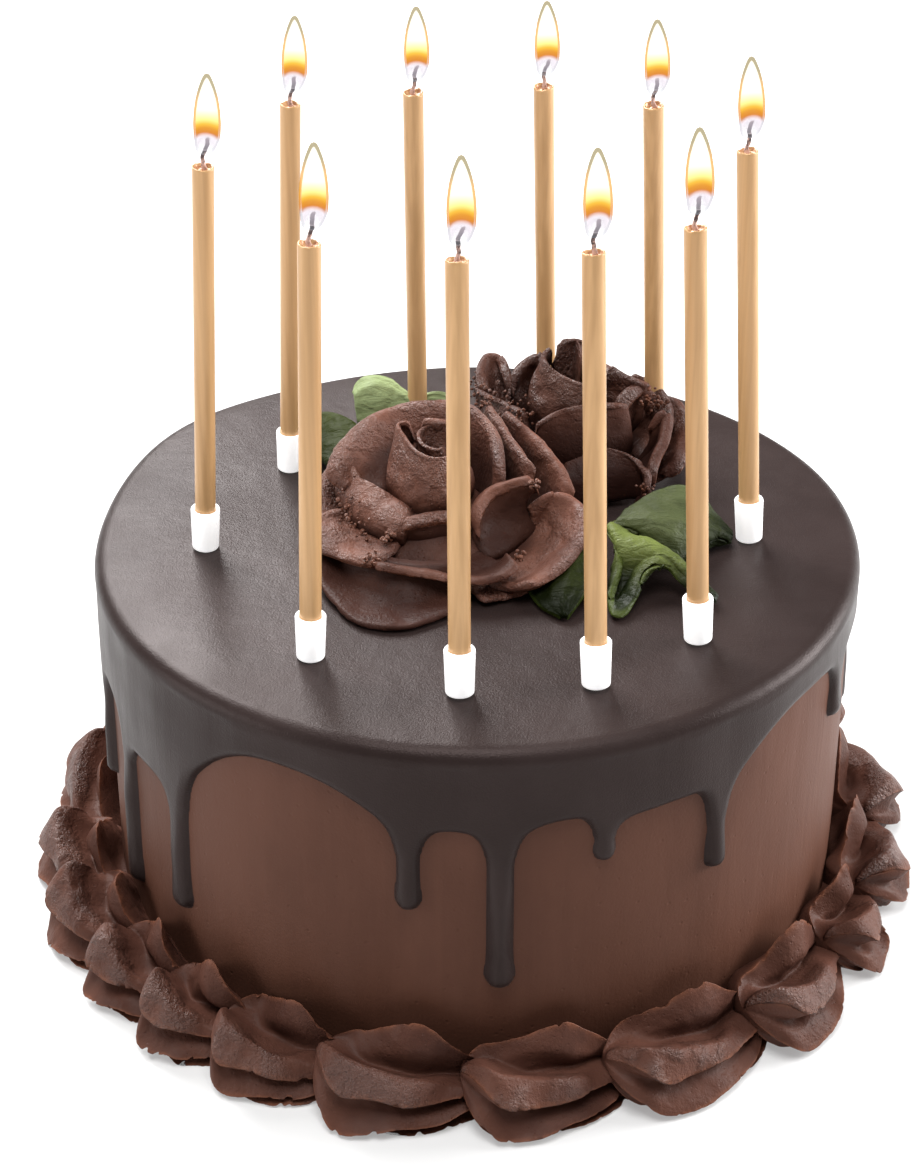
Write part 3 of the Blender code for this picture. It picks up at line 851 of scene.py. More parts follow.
class Loft:
    """A sheet's middle surface, lofted across curves, kept as a grid of points."""

    def __init__(self, curves: list[Curve], columns: int, shares: list[float]) -> None:
        """Works out the grid.

        Args:
            curves: From the sheet's first edge to its last.
            columns: Steps along the curves.
            shares: Where the grid's rows lie across them, from 0 to 1.
        """
        self.columns = columns
        self.shares = shares
        self.rows = len(shares) - 1
        self.places: list[list[Vector]] = []
        for column in range(columns + 1):
            points = [curve.at(column / columns) for curve in curves]
            self.places.append([self.between(points, share) for share in shares])

    def between(self, points: list[Vector], share: float) -> Vector:
        """The point at a share of the way across points of the curves."""
        step = share * (len(points) - 1)
        index = min(int(step), len(points) - 2)
        slopes = [self.slope(points, index + more) for more in (0, 1)]
        return eased(points[index], points[index + 1], *slopes, step - index)

    def slope(self, points: list[Vector], index: int) -> Vector:
        """The slope across the curves at one of them."""
        low, high = max(index - 1, 0), min(index + 1, len(points) - 1)
        return (points[high] - points[low]) / (high - low)

    def normal(self, column: int, row: int) -> Vector:
        """The sheet's normal at a point of the grid."""
        low, high = max(column - 1, 0), min(column + 1, self.columns)
        below, above = max(row - 1, 0), min(row + 1, self.rows)
        along = self.places[high][row] - self.places[low][row]
        across = self.places[column][above] - self.places[column][below]
        normal = along.cross(across)
        return normal.normalized() if normal.length > 0.0 else UP.copy()

    def sheet(self, warp: Callable[[Spot], tuple[Vector, float, float]], first: Shade = Shade.RIM) -> Mesh:
        """The closed sheet round the middle surface: over it, round its last edge and back under it.

        Args:
            warp: Sends a spot to a place, to the first attribute's value and to how coarse it is there.
            first: The attribute that the warp's second value is kept in.

        Returns:
            The welded mesh.
        """

        def warped(u: float, v: float) -> tuple[Vector, float, float]:
            column = round((0.5 + 0.5 * u) * self.columns)
            row = self.rows - round(abs(v) * self.rows)
            places = self.places[column]
            side = 1.0 if v > 0.0 else -1.0
            return warp(
                Spot(u, self.shares[row], side, places[row], self.normal(column, row), places[0])
            )

        return closed_sheet(self.columns, 2 * self.rows, warped, first)


# ---------------------------------------------------------------- the cake


@dataclass(frozen=True)
class Swelling:
    """A stretch round the cake where its side stands out."""

    middle: float
    spread: float
    size: float


@dataclass(frozen=True)
class CakeForm:
    """The round form that the cake, its coat and its border share."""

    foot_radius: float
    top_radius: float
    height: float
    coat_top: float
    swellings: tuple[Swelling, ...] = (
        Swelling(144.0, 14.0, 0.0046),
        Swelling(105.0, 45.0, 0.0016),
        Swelling(18.0, 16.0, 0.0017),
    )

    def swell(self, angle: float, height: float) -> float:
        """How far the side stands out at an angle and a height."""
        total = 0.0
        for swelling in self.swellings:
            off = turned(angle - swelling.middle)
            total += swelling.size * math.exp(-0.5 * (off / swelling.spread) ** 2)
        return total * height / self.coat_top

    def radius(self, angle: float, height: float) -> float:
        """Radius of the buttercream side at an angle and a height."""
        share = height / self.height
        straight = self.foot_radius + (self.top_radius - self.foot_radius) * share
        return straight + self.swell(angle, height)


@dataclass
class SmoothedCake:
    """The body of the cake, its side smoothed with a scraper."""

    form: CakeForm
    chamfer: float = 0.0050
    foot_ring: float = 0.6
    steps: int = 240
    rows: int = 64
    ripple: float = 0.00022
    ripple_size: float = 0.020
    fine_size: float = 0.007
    upright: float = 0.35

    def build(self, finish: Material) -> None:
        """Spins the body and gives its side faint ripples."""
        form = self.form
        shoulder = form.height - self.chamfer
        profile = [(0.0, 0.0), (self.foot_ring * form.foot_radius, 0.0)]
        for row in range(self.rows + 1):
            height = shoulder * row / self.rows
            profile.append((form.radius(-90.0, height), height))
        profile += [(form.top_radius - self.chamfer, form.height), (0.0, form.height)]
        shape = spun(profile, self.steps)
        for corner in shape.verts:
            place = corner.co.copy()
            if place.xy.length < WELD:
                continue
            ripples = Vector((place.x, place.y, self.upright * place.z))
            push = form.swell(bearing(place), place.z)
            push += self.ripple * (
                wobble(ripples, self.ripple_size) + 0.5 * wobble(ripples, self.fine_size, 3.0)
            )
            corner.co = place + Vector((place.x, place.y, 0.0)).normalized() * push
        piece("smoothed_cake", shape, finish, "chocolate_buttercream", "cake_body")


@dataclass(frozen=True)
class Drip:
    """One drip of the coat, and the arch between it and the next one round.

    tip, root and arch are depths below the coat's top: of the drip's end, of the skirt's edge beside it
    and of the same edge at the arch's crown.
    """

    angle: float
    width: float
    tip: float
    root: float
    arch_angle: float
    arch: float


@dataclass
class PouredCoat:
    """The ganache poured over the cake: a level top, a round shoulder and a skirt that drips."""

    form: CakeForm
    drips: tuple[Drip, ...] = (
        Drip(-166.0, 0.0045, 0.0600, 0.0300, -161.0, 0.0265),
        Drip(-153.5, 0.0070, 0.0800, 0.0360, -146.0, 0.0355),
        Drip(-138.5, 0.0075, 0.0715, 0.0380, -118.5, 0.0125),
        Drip(-99.7, 0.0060, 0.0465, 0.0275, -93.6, 0.0232),
        Drip(-87.0, 0.0070, 0.0690, 0.0285, -77.5, 0.0212),
        Drip(-72.5, 0.0052, 0.0345, 0.0245, -59.5, 0.0226),
        Drip(-54.5, 0.0060, 0.0470, 0.0285, -36.0, 0.0118),
        Drip(-23.5, 0.0070, 0.0310, 0.0160, -12.0, 0.0130),
        Drip(2.0, 0.0065, 0.0560, 0.0270, 19.0, 0.0160),
        Drip(34.0, 0.0060, 0.0410, 0.0250, 52.0, 0.0135),
        Drip(68.0, 0.0072, 0.0660, 0.0290, 86.0, 0.0180),
        Drip(101.0, 0.0056, 0.0380, 0.0240, 117.0, 0.0150),
        Drip(133.0, 0.0068, 0.0600, 0.0280, 150.0, 0.0155),
        Drip(168.0, 0.0060, 0.0450, 0.0260, 182.0, 0.0220),
    )
    shoulder: float = 0.0045
    dip: float = 0.0006
    dip_width: float = 0.013
    thickness: float = 0.0020
    bulb: float = 0.0008
    edge_round: float = 0.0026
    root_blend: float = 0.0055
    buried: float = 0.0012
    tuck: float = 0.0009
    waist: float = 0.16
    drip_reach: float = 9.0
    sweep: float = 2.2
    run: float = 0.00028
    ripple: float = 0.00035
    columns: int = 1080
    top_rows: tuple[float, ...] = (
        0.0, 0.2, 0.4, 0.55, 0.68, 0.78, 0.84, 0.88, 0.91, 0.93, 0.95, 0.97, 0.985, 1.0,
    )
    shoulder_rows: int = 11
    skirt_step: float = 0.0006
    drip_step: float = 0.0011
    skirt_end: float = 0.0420
    overrun: float = 0.002

    @property
    def outside(self) -> float:
        """Radius of the coat just below its shoulder."""
        return self.form.top_radius + self.thickness

    def arch_depth(self, angle: float) -> float:
        """How far the skirt runs down between the drips at an angle."""
        index = min(range(len(self.drips)), key=lambda number: (angle - self.drips[number].angle) % 360.0)
        drip, follower = self.drips[index], self.drips[(index + 1) % len(self.drips)]
        turn = (angle - drip.angle) % 360.0
        crest = (drip.arch_angle - drip.angle) % 360.0
        if turn <= crest:
            return drip.arch + (drip.root - drip.arch) * (1.0 - turn / crest) ** self.sweep
        share = (turn - crest) / ((follower.angle - drip.angle) % 360.0 - crest)
        return drip.arch + (follower.root - drip.arch) * share**self.sweep

    def drip_inside(self, drip: Drip, angle: float, depth: float) -> float:
        """How far inside a drip's outline a point lies, below zero outside it."""
        across = math.radians(turned(angle - drip.angle)) * self.form.top_radius
        half = 0.5 * drip.width
        centre = drip.tip - half
        if depth > centre:
            return half - math.hypot(across, depth - centre)
        narrow = self.waist * smooth(centre - depth, run=0.008) * smooth(depth, drip.root, 0.006)
        return half * (1.0 - narrow) - abs(across)

    def inside(self, angle: float, depth: float, arch: float, slope: float) -> float:
        """How far inside the coat's outline a point of the side lies.

        Args:
            angle: Round the cake.
            depth: Below the coat's top.
            arch: Depth of the skirt's edge at this angle.
            slope: How steep that edge runs there.

        Returns:
            The distance, below zero where there is no coat.
        """
        best = (arch - depth) / math.sqrt(1.0 + slope * slope)
        for drip in self.drips:
            if abs(turned(angle - drip.angle)) > self.drip_reach:
                continue
            other = self.drip_inside(drip, angle, depth)
            near = max(self.root_blend - abs(best - other), 0.0) / self.root_blend
            best = max(best, other) + 0.25 * near * near * self.root_blend
        return best

    def rows(self) -> list[tuple[float, float]]:
        """Each row of the sheet as (radius, depth), with radius -1 for a row down the side."""
        flat = self.outside - self.shoulder
        rows = [(flat * share, 0.0) for share in self.top_rows]
        for step in range(1, self.shoulder_rows + 1):
            turn = math.radians(90.0 * step / self.shoulder_rows)
            rows.append((flat + self.shoulder * math.sin(turn), self.shoulder * (1.0 - math.cos(turn))))
        depth = self.shoulder + self.skirt_step
        while depth < max(drip.tip for drip in self.drips) + self.overrun:
            rows.append((-1.0, depth))
            depth += self.skirt_step if depth < self.skirt_end else self.drip_step
        return rows

    def rippled(self, place: Vector, radius: float) -> Vector:
        """A place with the coat's faint unevenness, which fades out at the axis."""
        place.z += self.ripple * wobble(place, 0.035) * smooth(radius, run=0.02)
        return place

    def top_point(self, angle: float, radius: float, depth: float) -> Vector:
        """A point of the coat's top or shoulder, which dips a little before the shoulder."""
        near = clamp((radius - self.outside + self.shoulder) / self.dip_width + 1.0)
        near *= near * max(0.0, 1.0 - depth / self.shoulder)
        height = self.form.coat_top - depth - self.dip * near
        radius += self.form.swell(angle, height) * smooth(radius / self.outside, 0.5, 0.5)
        place = polar(angle) * radius
        place.z = height
        return self.rippled(place, radius)

    def side_point(self, angle: float, depth: float, arch: float, inside: float) -> Vector:
        """A point of the skirt or of a drip, or of what lies hidden in the cake between them.

        Args:
            angle: Round the cake.
            depth: Below the coat's top.
            arch: Depth of the skirt's edge at this angle.
            inside: How far inside the coat's outline the point lies.

        Returns:
            The point.
        """
        height = self.form.coat_top - depth
        share = clamp(inside / self.edge_round)
        lift = self.thickness * rounded(share)
        if inside < 0.0:
            lift = -self.tuck * smooth(-inside, run=self.buried)
        fat = self.bulb * smooth(depth - arch, 0.006, 0.012) * share
        side = self.form.radius(angle, height) + lift + fat
        ease = smooth(depth, self.shoulder, 0.010)
        radius = side * ease + (self.outside + self.form.swell(angle, height)) * (1.0 - ease)
        outward = polar(angle)
        place = outward * radius
        place.z = height
        if inside <= 0.0:
            return self.rippled(place, radius)
        runs = Vector((place.x, place.y, 0.22 * place.z))
        return place + outward * (self.run * wobble(runs, 0.011) * smooth(inside, run=self.edge_round))

    def build(self, finish: Material) -> None:
        """Warps one sheet over the top and down the side, and drops what lies inside the cake."""
        rows = self.rows()
        arches = [self.arch_depth(-180.0 + 360.0 * column / self.columns) for column in range(self.columns)]
        arc_step = 2.0 * math.pi * self.form.top_radius / self.columns
        shape = bmesh.new()
        depth_inside = shape.verts.layers.float.new("inside")
        bmesh.ops.create_grid(shape, x_segments=self.columns, y_segments=len(rows) - 1, size=1.0)
        for corner in shape.verts:
            column = round((corner.co.x + 1.0) * 0.5 * self.columns) % self.columns
            radius, depth = rows[round((corner.co.y + 1.0) * 0.5 * (len(rows) - 1))]
            angle = -180.0 + 360.0 * column / self.columns
            if radius >= 0.0:
                corner.co, corner[depth_inside] = self.top_point(angle, radius, depth), self.edge_round
                continue
            slope = (arches[(column + 1) % self.columns] - arches[column - 1]) / (2.0 * arc_step)
            inside = self.inside(angle, depth, arches[column], slope)
            corner.co, corner[depth_inside] = self.side_point(angle, depth, arches[column], inside), inside
        bmesh.ops.remove_doubles(shape, verts=shape.verts, dist=WELD)
        hidden = [
            face
            for face in shape.faces
            if all(corner[depth_inside] < -self.buried for corner in face.verts)
        ]
        bmesh.ops.delete(shape, geom=hidden, context="FACES")
        rim = [edge for edge in shape.edges if edge.is_boundary]
        bmesh.ops.holes_fill(shape, edges=rim, sides=0)
        bmesh.ops.recalc_face_normals(shape, faces=shape.faces)
        shape.verts.layers.float.remove(depth_inside)
        piece("poured_coat", shape, finish, "dark_ganache", "ganache_coat")


# ---------------------------------------------------------------- roses


@dataclass(frozen=True)
class Petal:
    """A piped petal.

    Lengths are in millimetres. rim holds (angle round the rose's axis, reach from it, height above the
    coat) along the petal's crest. foot is the reach at the crest's start and end, and the height, of its
    foot. bulge is how far its middle stands out, roll how far its lip rolls over outward, hollow the share
    of it, from the foot, that is painted dark as shade and kept smooth.
    """

    name: str
    rim: tuple[Point, ...]
    foot: Point
    bulge: float
    roll: float
    thick: float
    hollow: float = 0.20


@dataclass
class PipedRose:
    """A rose of petals piped round a bud, on a solid mound.

    The mound is a profile of (radius, height). Each of crumbs is a patch of torn-off crumbs, as (angle,
    reach, height, spread). Both are in millimetres.
    """

    node: str
    centre: Vector
    petals: tuple[Petal, ...]
    mound: tuple[Pair, ...]
    seed: float
    crumbs: tuple[tuple[float, float, float, float], ...]
    step: float = 0.0007
    rows: int = 26
    belly: float = 0.52
    droop: float = 0.75
    lip: float = 0.2
    flare: float = 0.35
    rim_width: float = 0.13
    foot_width: float = 0.06
    end_round: float = 0.004
    ripple: float = 0.00045
    ripple_size: float = 0.0075
    fine_size: float = 0.0022
    tear: float = 0.00045
    fray_size: float = 0.0013
    fine_fray: float = 0.0006
    crumble: float = 0.0013
    crumble_size: float = 0.006
    sink: float = 0.30
    crumb_count: int = 16
    crumb_radius: float = 0.00055
    crumb_shift: float = 0.0017

    def curves(self, petal: Petal) -> list[Curve]:
        """The petal's foot, belly, crest and lip."""
        first_reach, last_reach, foot_height = petal.foot
        stations = []
        for index, (angle, reach, height) in enumerate(petal.rim):
            share = index / (len(petal.rim) - 1)
            outward = polar(angle)
            crest = outward * reach + UP * height
            foot = outward * (first_reach + (last_reach - first_reach) * share) + UP * foot_height
            chord = (crest - foot).normalized()
            side = outward * chord.z - UP * chord.dot(outward)
            belly = foot.lerp(crest, self.belly) + side * petal.bulge
            lip = crest + outward * petal.roll - UP * (self.droop * petal.roll) + chord * self.lip
            stations.append([self.centre + point / MILLI for point in (foot, belly, crest, lip)])
        return [Curve(list(line)) for line in zip(*stations)]

    def petal_mesh(self, petal: Petal, number: int) -> Mesh:
        """One petal as a closed sheet with a rolled, frayed rim."""
        curves = self.curves(petal)
        foot, crest = curves[0], curves[2]
        length = crest.length
        upward = (crest.points[0] - foot.points[0]).normalized()
        columns = 2 * max(12, round(length / self.step / 2.0))
        shares = [1.0 - (1.0 - row / self.rows) ** 1.3 for row in range(self.rows + 1)]
        seed = self.seed + 1.9 * number

        def warp(spot: Spot) -> tuple[Vector, float, float]:
            share, end = spot.across, abs(spot.along)
            body = petal.thick * (1.0 + self.flare * (1.0 - share) ** 2)
            rim_taper = rounded((1.0 - share) / self.rim_width)
            foot_taper = min(1.0, share / self.foot_width)
            end_taper = math.sqrt(max(0.0, 1.0 - end ** (2.0 * length / self.end_round)))
            half = 0.5 / MILLI * body * rim_taper * foot_taper * end_taper
            place = spot.middle + spot.normal * (spot.side * half)
            wave = wobble(spot.middle, self.ripple_size, seed) + 0.35 * wobble(place, self.fine_size, seed)
            place += spot.normal * (self.ripple * wave * smooth(share, run=0.3))
            rough_end = smooth(end * length - length, -0.005, 0.004)
            fray = wobble(place, self.fray_size, seed) + 0.6 * wobble(place, self.fine_fray, seed)
            torn = max(0.0, wobble(place, self.crumble_size, 3.0) + 0.3)
            size = self.tear + self.crumble * rough_end * torn
            place += upward * (size * fray * smooth(share, 0.80, 0.18))
            sink = self.sink * (smooth(end, 0.84, 0.16) * smooth(share, 0.2, 0.6))
            place = place.lerp(spot.foot, sink)
            place.z = max(place.z, self.centre.z)
            rim = smooth(share, 0.90, 0.09) * (1.0 - 0.5 * rough_end)
            # The third value is low near the foot, where the piped finish paints shade into the hollow.
            return place, rim, smooth(share / (1.7 * petal.hollow), 0.25)

        return Loft(curves, columns, shares).sheet(warp)

    def crumb_mesh(self, spot: tuple[float, float, float, float], number: int) -> Mesh:
        """A patch of small torn crumbs.

        Args:
            spot: Its angle, reach, height and spread.
            number: Makes each patch different.

        Returns:
            The crumbs' mesh.
        """
        angle, reach, height, spread = spot
        middle = self.centre + polar(angle, reach, height) / MILLI
        patch = bmesh.new()
        rim = patch.verts.layers.float.new(Shade.RIM.value)
        coarse = patch.verts.layers.float.new(Shade.COARSE.value)
        for index in range(self.crumb_count):
            key = Vector((7.3 * index, 3.1 * number, self.seed))
            shift = Vector([noise.noise(key + Vector((0.0, 11.3 * axis, 4.1))) for axis in range(3)])
            shift *= self.crumb_shift * spread
            size = self.crumb_radius * (0.6 + 1.1 * abs(noise.noise(key * 1.7)))
            for corner in bmesh.ops.create_icosphere(patch, subdivisions=2, radius=size)["verts"]:
                corner.co *= 1.0 + 0.5 * noise.noise(corner.co / size + key)
                corner.co += middle + shift
                corner[rim], corner[coarse] = 0.6, 1.0
        return patch

    def build(self, finish: Material) -> None:
        """Pipes every petal round the mound and drops the crumbs."""
        shape = spun(list(self.mound), 48, MILLI)
        rim = shape.verts.layers.float.new(Shade.RIM.value)
        coarse = shape.verts.layers.float.new(Shade.COARSE.value)
        for corner in shape.verts:
            # The mound's low coarse value makes the finish paint it mostly dark, as painted shade.
            corner[rim], corner[coarse] = 0.0, 0.2
            corner.co += self.centre
        for number, petal in enumerate(self.petals):
            log.debug("%s: %s petal", self.node, petal.name)
            joined(shape, self.petal_mesh(petal, number))
        for number, spot in enumerate(self.crumbs):
            joined(shape, self.crumb_mesh(spot, number))
        piece(self.node + "_petals", shape, finish, "piped_chocolate", self.node)


FRONT_PETALS = (
    Petal("curl", (
        (-18, 5.0, 28.5), (-63, 4.2, 27.5), (-130, 2.6, 28.0), (-218, 3.3, 29.5), (-297, 5.4, 30.5),
        (-345, 7.9, 29.5),
    ), (2.2, 2.2, 16.0), 0.3, 0.1, 0.7),
    Petal("wrap", (
        (117, 6.0, 30.5), (143, 9.8, 29.5), (182, 6.1, 28.5), (238, 6.0, 27.5), (275, 7.8, 27.0),
        (305, 8.3, 27.0), (354, 9.6, 27.5),
    ), (10.5, 10.5, 9.0), 1.5, 0.2, 0.9),
    Petal("wrapback", (
        (-6, 9.6, 27.5), (31, 9.7, 29.0), (44, 6.6, 30.5), (91, 4.7, 31.0), (117, 6.0, 30.5),
    ), (9.0, 9.0, 12.0), 0.5, 0.2, 1.2),
    Petal("backarc", (
        (-175, 24.4, 17.0), (-199, 23.0, 21.5), (-220, 22.7, 24.0), (-238, 21.9, 26.0), (-260, 21.3, 27.0),
        (-282, 21.9, 27.0), (-301, 21.1, 27.0),
    ), (10.5, 12.5, 14.0), 1.0, 2.5, 2.6, 0.36),
    Petal("rightarc", (
        (75, 21.8, 27.0), (59, 21.1, 27.0), (34, 18.7, 25.0), (8, 17.2, 22.0), (-12, 17.7, 18.0),
    ), (15.0, 14.5, 6.0), 0.8, 1.8, 1.9, 0.42),
    Petal("leftstrip", (
        (166, 22.5, 16.5), (172, 18.4, 16.5), (198, 13.6, 15.0), (228, 12.2, 13.5), (252, 13.0, 12.0),
    ), (21.0, 15.0, 8.0), 2.5, 2.2, 5.4),
    Petal("crescent", (
        (-124, 20.4, 11.0), (-117, 16.6, 12.5), (-100, 14.4, 14.0), (-70, 13.7, 14.5), (-54, 18.4, 14.0),
    ), (13.0, 11.0, 5.0), 1.5, 2.2, 2.2, 0.44),
    Petal("cup", (
        (-52, 17.6, 12.0), (-35, 15.3, 15.0), (-21, 17.1, 17.5), (-13, 21.7, 19.0), (-9, 27.0, 20.0),
    ), (24.0, 28.0, 4.0), -2.5, 1.8, 2.6, 0.55),
    Petal("r1", (
        (60, 28.2, 26.0), (34, 22.6, 24.0), (8, 23.5, 21.5), (-4, 26.4, 20.0),
    ), (20.0, 19.0, 5.0), 1.0, 1.5, 1.6, 0.42),
    Petal("r2", (
        (54, 30.1, 24.5), (32, 29.1, 22.5), (10, 31.6, 19.5), (-5, 34.9, 16.0), (-7, 35.2, 14.0),
    ), (25.0, 26.0, 4.0), 1.0, 1.9, 1.7, 0.42),
    Petal("bowl", (
        (-11, 26.8, 15.0), (-8, 31.8, 15.0), (-13, 37.5, 14.0), (-20, 40.6, 12.0), (-29, 41.2, 9.5),
        (-41, 40.8, 7.0), (-51, 39.3, 5.5), (-61, 35.3, 4.5),
    ), (20.0, 22.0, 3.0), 3.0, 1.5, 2.2),
    Petal("frontrim", (
        (-121, 29.3, 8.0), (-107, 28.9, 8.0), (-92, 29.2, 7.5), (-79, 31.3, 7.0), (-67, 34.1, 7.0),
        (-57, 35.0, 8.0), (-48, 32.9, 9.5),
    ), (14.0, 18.0, 5.0), 2.5, 1.2, 1.6, 0.75),
    Petal("left", (
        (-167, 21.4, 12.0), (-163, 27.7, 10.0), (-149, 30.6, 8.0), (-139, 28.7, 7.5), (-126, 28.0, 8.0),
        (-113, 27.0, 8.5),
    ), (14.0, 14.0, 8.0), 0.5, 2.0, 2.6),
    Petal("bottom", (
        (-152, 30.5, 5.5), (-144, 33.0, 3.5), (-136, 36.0, 2.0), (-124, 39.6, 1.5), (-113, 43.8, 1.2),
        (-105, 44.4, 1.2), (-97, 43.4, 1.2), (-91, 40.8, 1.2), (-80, 36.6, 1.5), (-71, 34.8, 2.0),
    ), (24.5, 24.5, 8.0), 3.8, 0.4, 1.3, 1.0),
    Petal("under", (
        (-71, 34.8, 2.0), (-60, 35.2, 1.5), (-48, 36.0, 1.3), (-33, 35.9, 1.3),
    ), (20.0, 20.0, 4.0), 1.0, 0.5, 1.6),
    Petal("behind", (
        (70, 27.0, 15.0), (90, 28.0, 16.0), (110, 27.0, 16.0), (130, 27.0, 14.0),
    ), (18.0, 18.0, 5.0), 1.5, 2.0, 2.2),
    Petal("behind2", (
        (140, 28.0, 13.0), (160, 28.0, 12.0), (180, 28.0, 10.0), (200, 27.0, 9.0),
    ), (18.0, 18.0, 5.0), 1.5, 2.0, 2.2),
)

BACK_PETALS = (
    Petal("curl", (
        (151, 3.8, 34.0), (100, 3.4, 35.5), (59, 4.9, 35.5), (-49, 5.7, 34.0),
    ), (2.5, 2.5, 18.0), 0.3, 0.2, 1.0),
    Petal("wrap", (
        (123, 5.9, 34.0), (177, 6.4, 32.5), (229, 5.3, 30.5), (288, 10.0, 29.5), (304, 12.6, 30.0),
    ), (9.5, 9.5, 12.0), 1.5, 0.3, 1.2),
    Petal("wrapback", (
        (-56, 12.6, 30.0), (-27, 10.4, 32.0), (15, 7.1, 34.0), (59, 4.9, 35.5), (130, 5.1, 34.5),
    ), (8.0, 8.0, 14.0), 0.5, 0.2, 1.2),
    Petal("leftwrap", (
        (173, 14.2, 25.0), (156, 13.1, 27.0), (139, 11.3, 29.0), (137, 8.4, 31.0),
    ), (14.0, 12.0, 10.0), 1.5, 0.8, 1.8),
    Petal("ear", (
        (155, 23.7, 17.0), (148, 26.4, 20.5), (137, 28.4, 23.0), (132, 26.2, 23.0), (137, 21.2, 21.0),
        (142, 18.3, 18.0),
    ), (17.0, 13.0, 9.0), 2.0, 0.8, 2.4),
    Petal("crumb", (
        (149, 28.9, 17.0), (163, 21.7, 18.0), (193, 15.2, 20.0), (229, 15.7, 21.0),
    ), (20.0, 13.0, 5.0), 2.0, 0.6, 1.3),
    Petal("front", (
        (-122, 18.1, 19.0), (-107, 14.8, 22.5), (-88, 13.0, 24.0), (-60, 14.1, 24.5), (-40, 17.1, 24.0),
        (-26, 18.7, 22.0),
    ), (15.0, 17.0, 3.0), 2.0, 0.6, 1.6, 0.5),
    Petal("lower", (
        (-97, 18.3, 9.5), (-75, 15.6, 13.0), (-56, 18.3, 13.5), (-46, 23.9, 12.0), (-46, 29.7, 9.0),
        (-52, 32.7, 6.0),
    ), (22.0, 28.0, 1.0), 2.0, 0.5, 1.8, 0.55),
    Petal("rightfat", (
        (-21, 13.9, 20.0), (-7, 15.9, 23.0), (1, 19.4, 23.5), (-5, 22.8, 22.0),
    ), (12.0, 15.0, 9.0), 1.5, 2.4, 2.6, 0.36),
    Petal("band", (
        (-19, 23.7, 20.0), (-14, 26.7, 19.0), (-26, 28.1, 15.5), (-37, 28.5, 12.0), (-46, 30.8, 7.0),
    ), (20.0, 24.0, 4.0), 1.5, 1.6, 2.2, 0.4),
    Petal("lobe", (
        (8, 23.7, 20.0), (4, 29.4, 18.0), (-9, 32.2, 14.0), (-22, 31.6, 9.0), (-29, 30.3, 6.0),
    ), (17.0, 22.0, 4.0), 2.5, 2.0, 2.6),
    Petal("rightback", (
        (34, 20.0, 22.0), (16, 24.0, 21.0), (2, 26.5, 18.0), (-10, 27.5, 14.0),
    ), (15.0, 20.0, 3.0), 1.5, 1.6, 2.2),
    Petal("backr", (
        (24, 12.0, 28.0), (5, 16.0, 26.0), (0, 22.0, 24.0),
    ), (9.0, 12.0, 13.0), 1.0, 1.5, 1.8),
    Petal("behind", (
        (40, 20.0, 20.0), (60, 21.0, 21.0), (85, 21.0, 21.0), (110, 20.0, 20.0),
    ), (12.0, 12.0, 8.0), 1.5, 2.0, 2.0),
    Petal("behind2", (
        (60, 24.0, 15.0), (90, 24.0, 15.0), (120, 24.0, 14.0), (145, 24.0, 13.0),
    ), (17.0, 17.0, 4.0), 1.5, 2.0, 2.2),
)


def roses() -> tuple[PipedRose, PipedRose]:
    """The two roses, placed by their solids."""
    front = PipedRose(
        "rose_front",
        part_of_box("rose_front", (0.4439, 0.5868)),
        FRONT_PETALS,
        (
            (0.0, 0.0), (25.0, 0.0), (24.0, 3.0), (19.0, 6.5), (14.0, 10.0), (10.5, 14.0), (8.0, 18.0),
            (0.0, 19.0),
        ),
        1.0,
        (
            (-163, 22.5, 13.5, 4.0), (-152, 22.0, 12.0, 4.0), (-141, 21.0, 11.0, 3.5), (59, 28.0, 26.3, 2.5),
            (-14, 27.0, 20.0, 1.5), (-120, 20.5, 11.0, 2.0), (-120, 29.0, 8.5, 2.0), (-48, 33.0, 9.8, 1.5),
        ),
    )
    back = PipedRose(
        "rose_back",
        part_of_box("rose_back", (0.4598, 0.5713)),
        BACK_PETALS,
        ((0.0, 0.0), (20.0, 0.0), (18.5, 4.0), (14.0, 8.0), (10.0, 13.0), (7.5, 18.0), (0.0, 20.0)),
        7.0,
        (
            (150, 28.0, 18.0, 3.0), (158, 24.5, 18.5, 3.5), (170, 19.5, 19.5, 3.5), (195, 15.5, 20.8, 3.5),
            (222, 15.8, 21.5, 3.0), (-4, 22.0, 22.8, 3.0), (-8, 24.0, 20.5, 2.5), (-50, 32.0, 6.5, 2.5),
        ),
    )
    return front, back


# ---------------------------------------------------------------- leaves


@dataclass(frozen=True)
class Leaf:
    """A piped leaf and its tone.

    lines run along it, from its near edge over its ribs to its far edge, as points of (x, y, height above
    the coat) in millimetres.
    """

    node: str
    tone: LeafTone
    lines: tuple[tuple[Point, ...], ...]


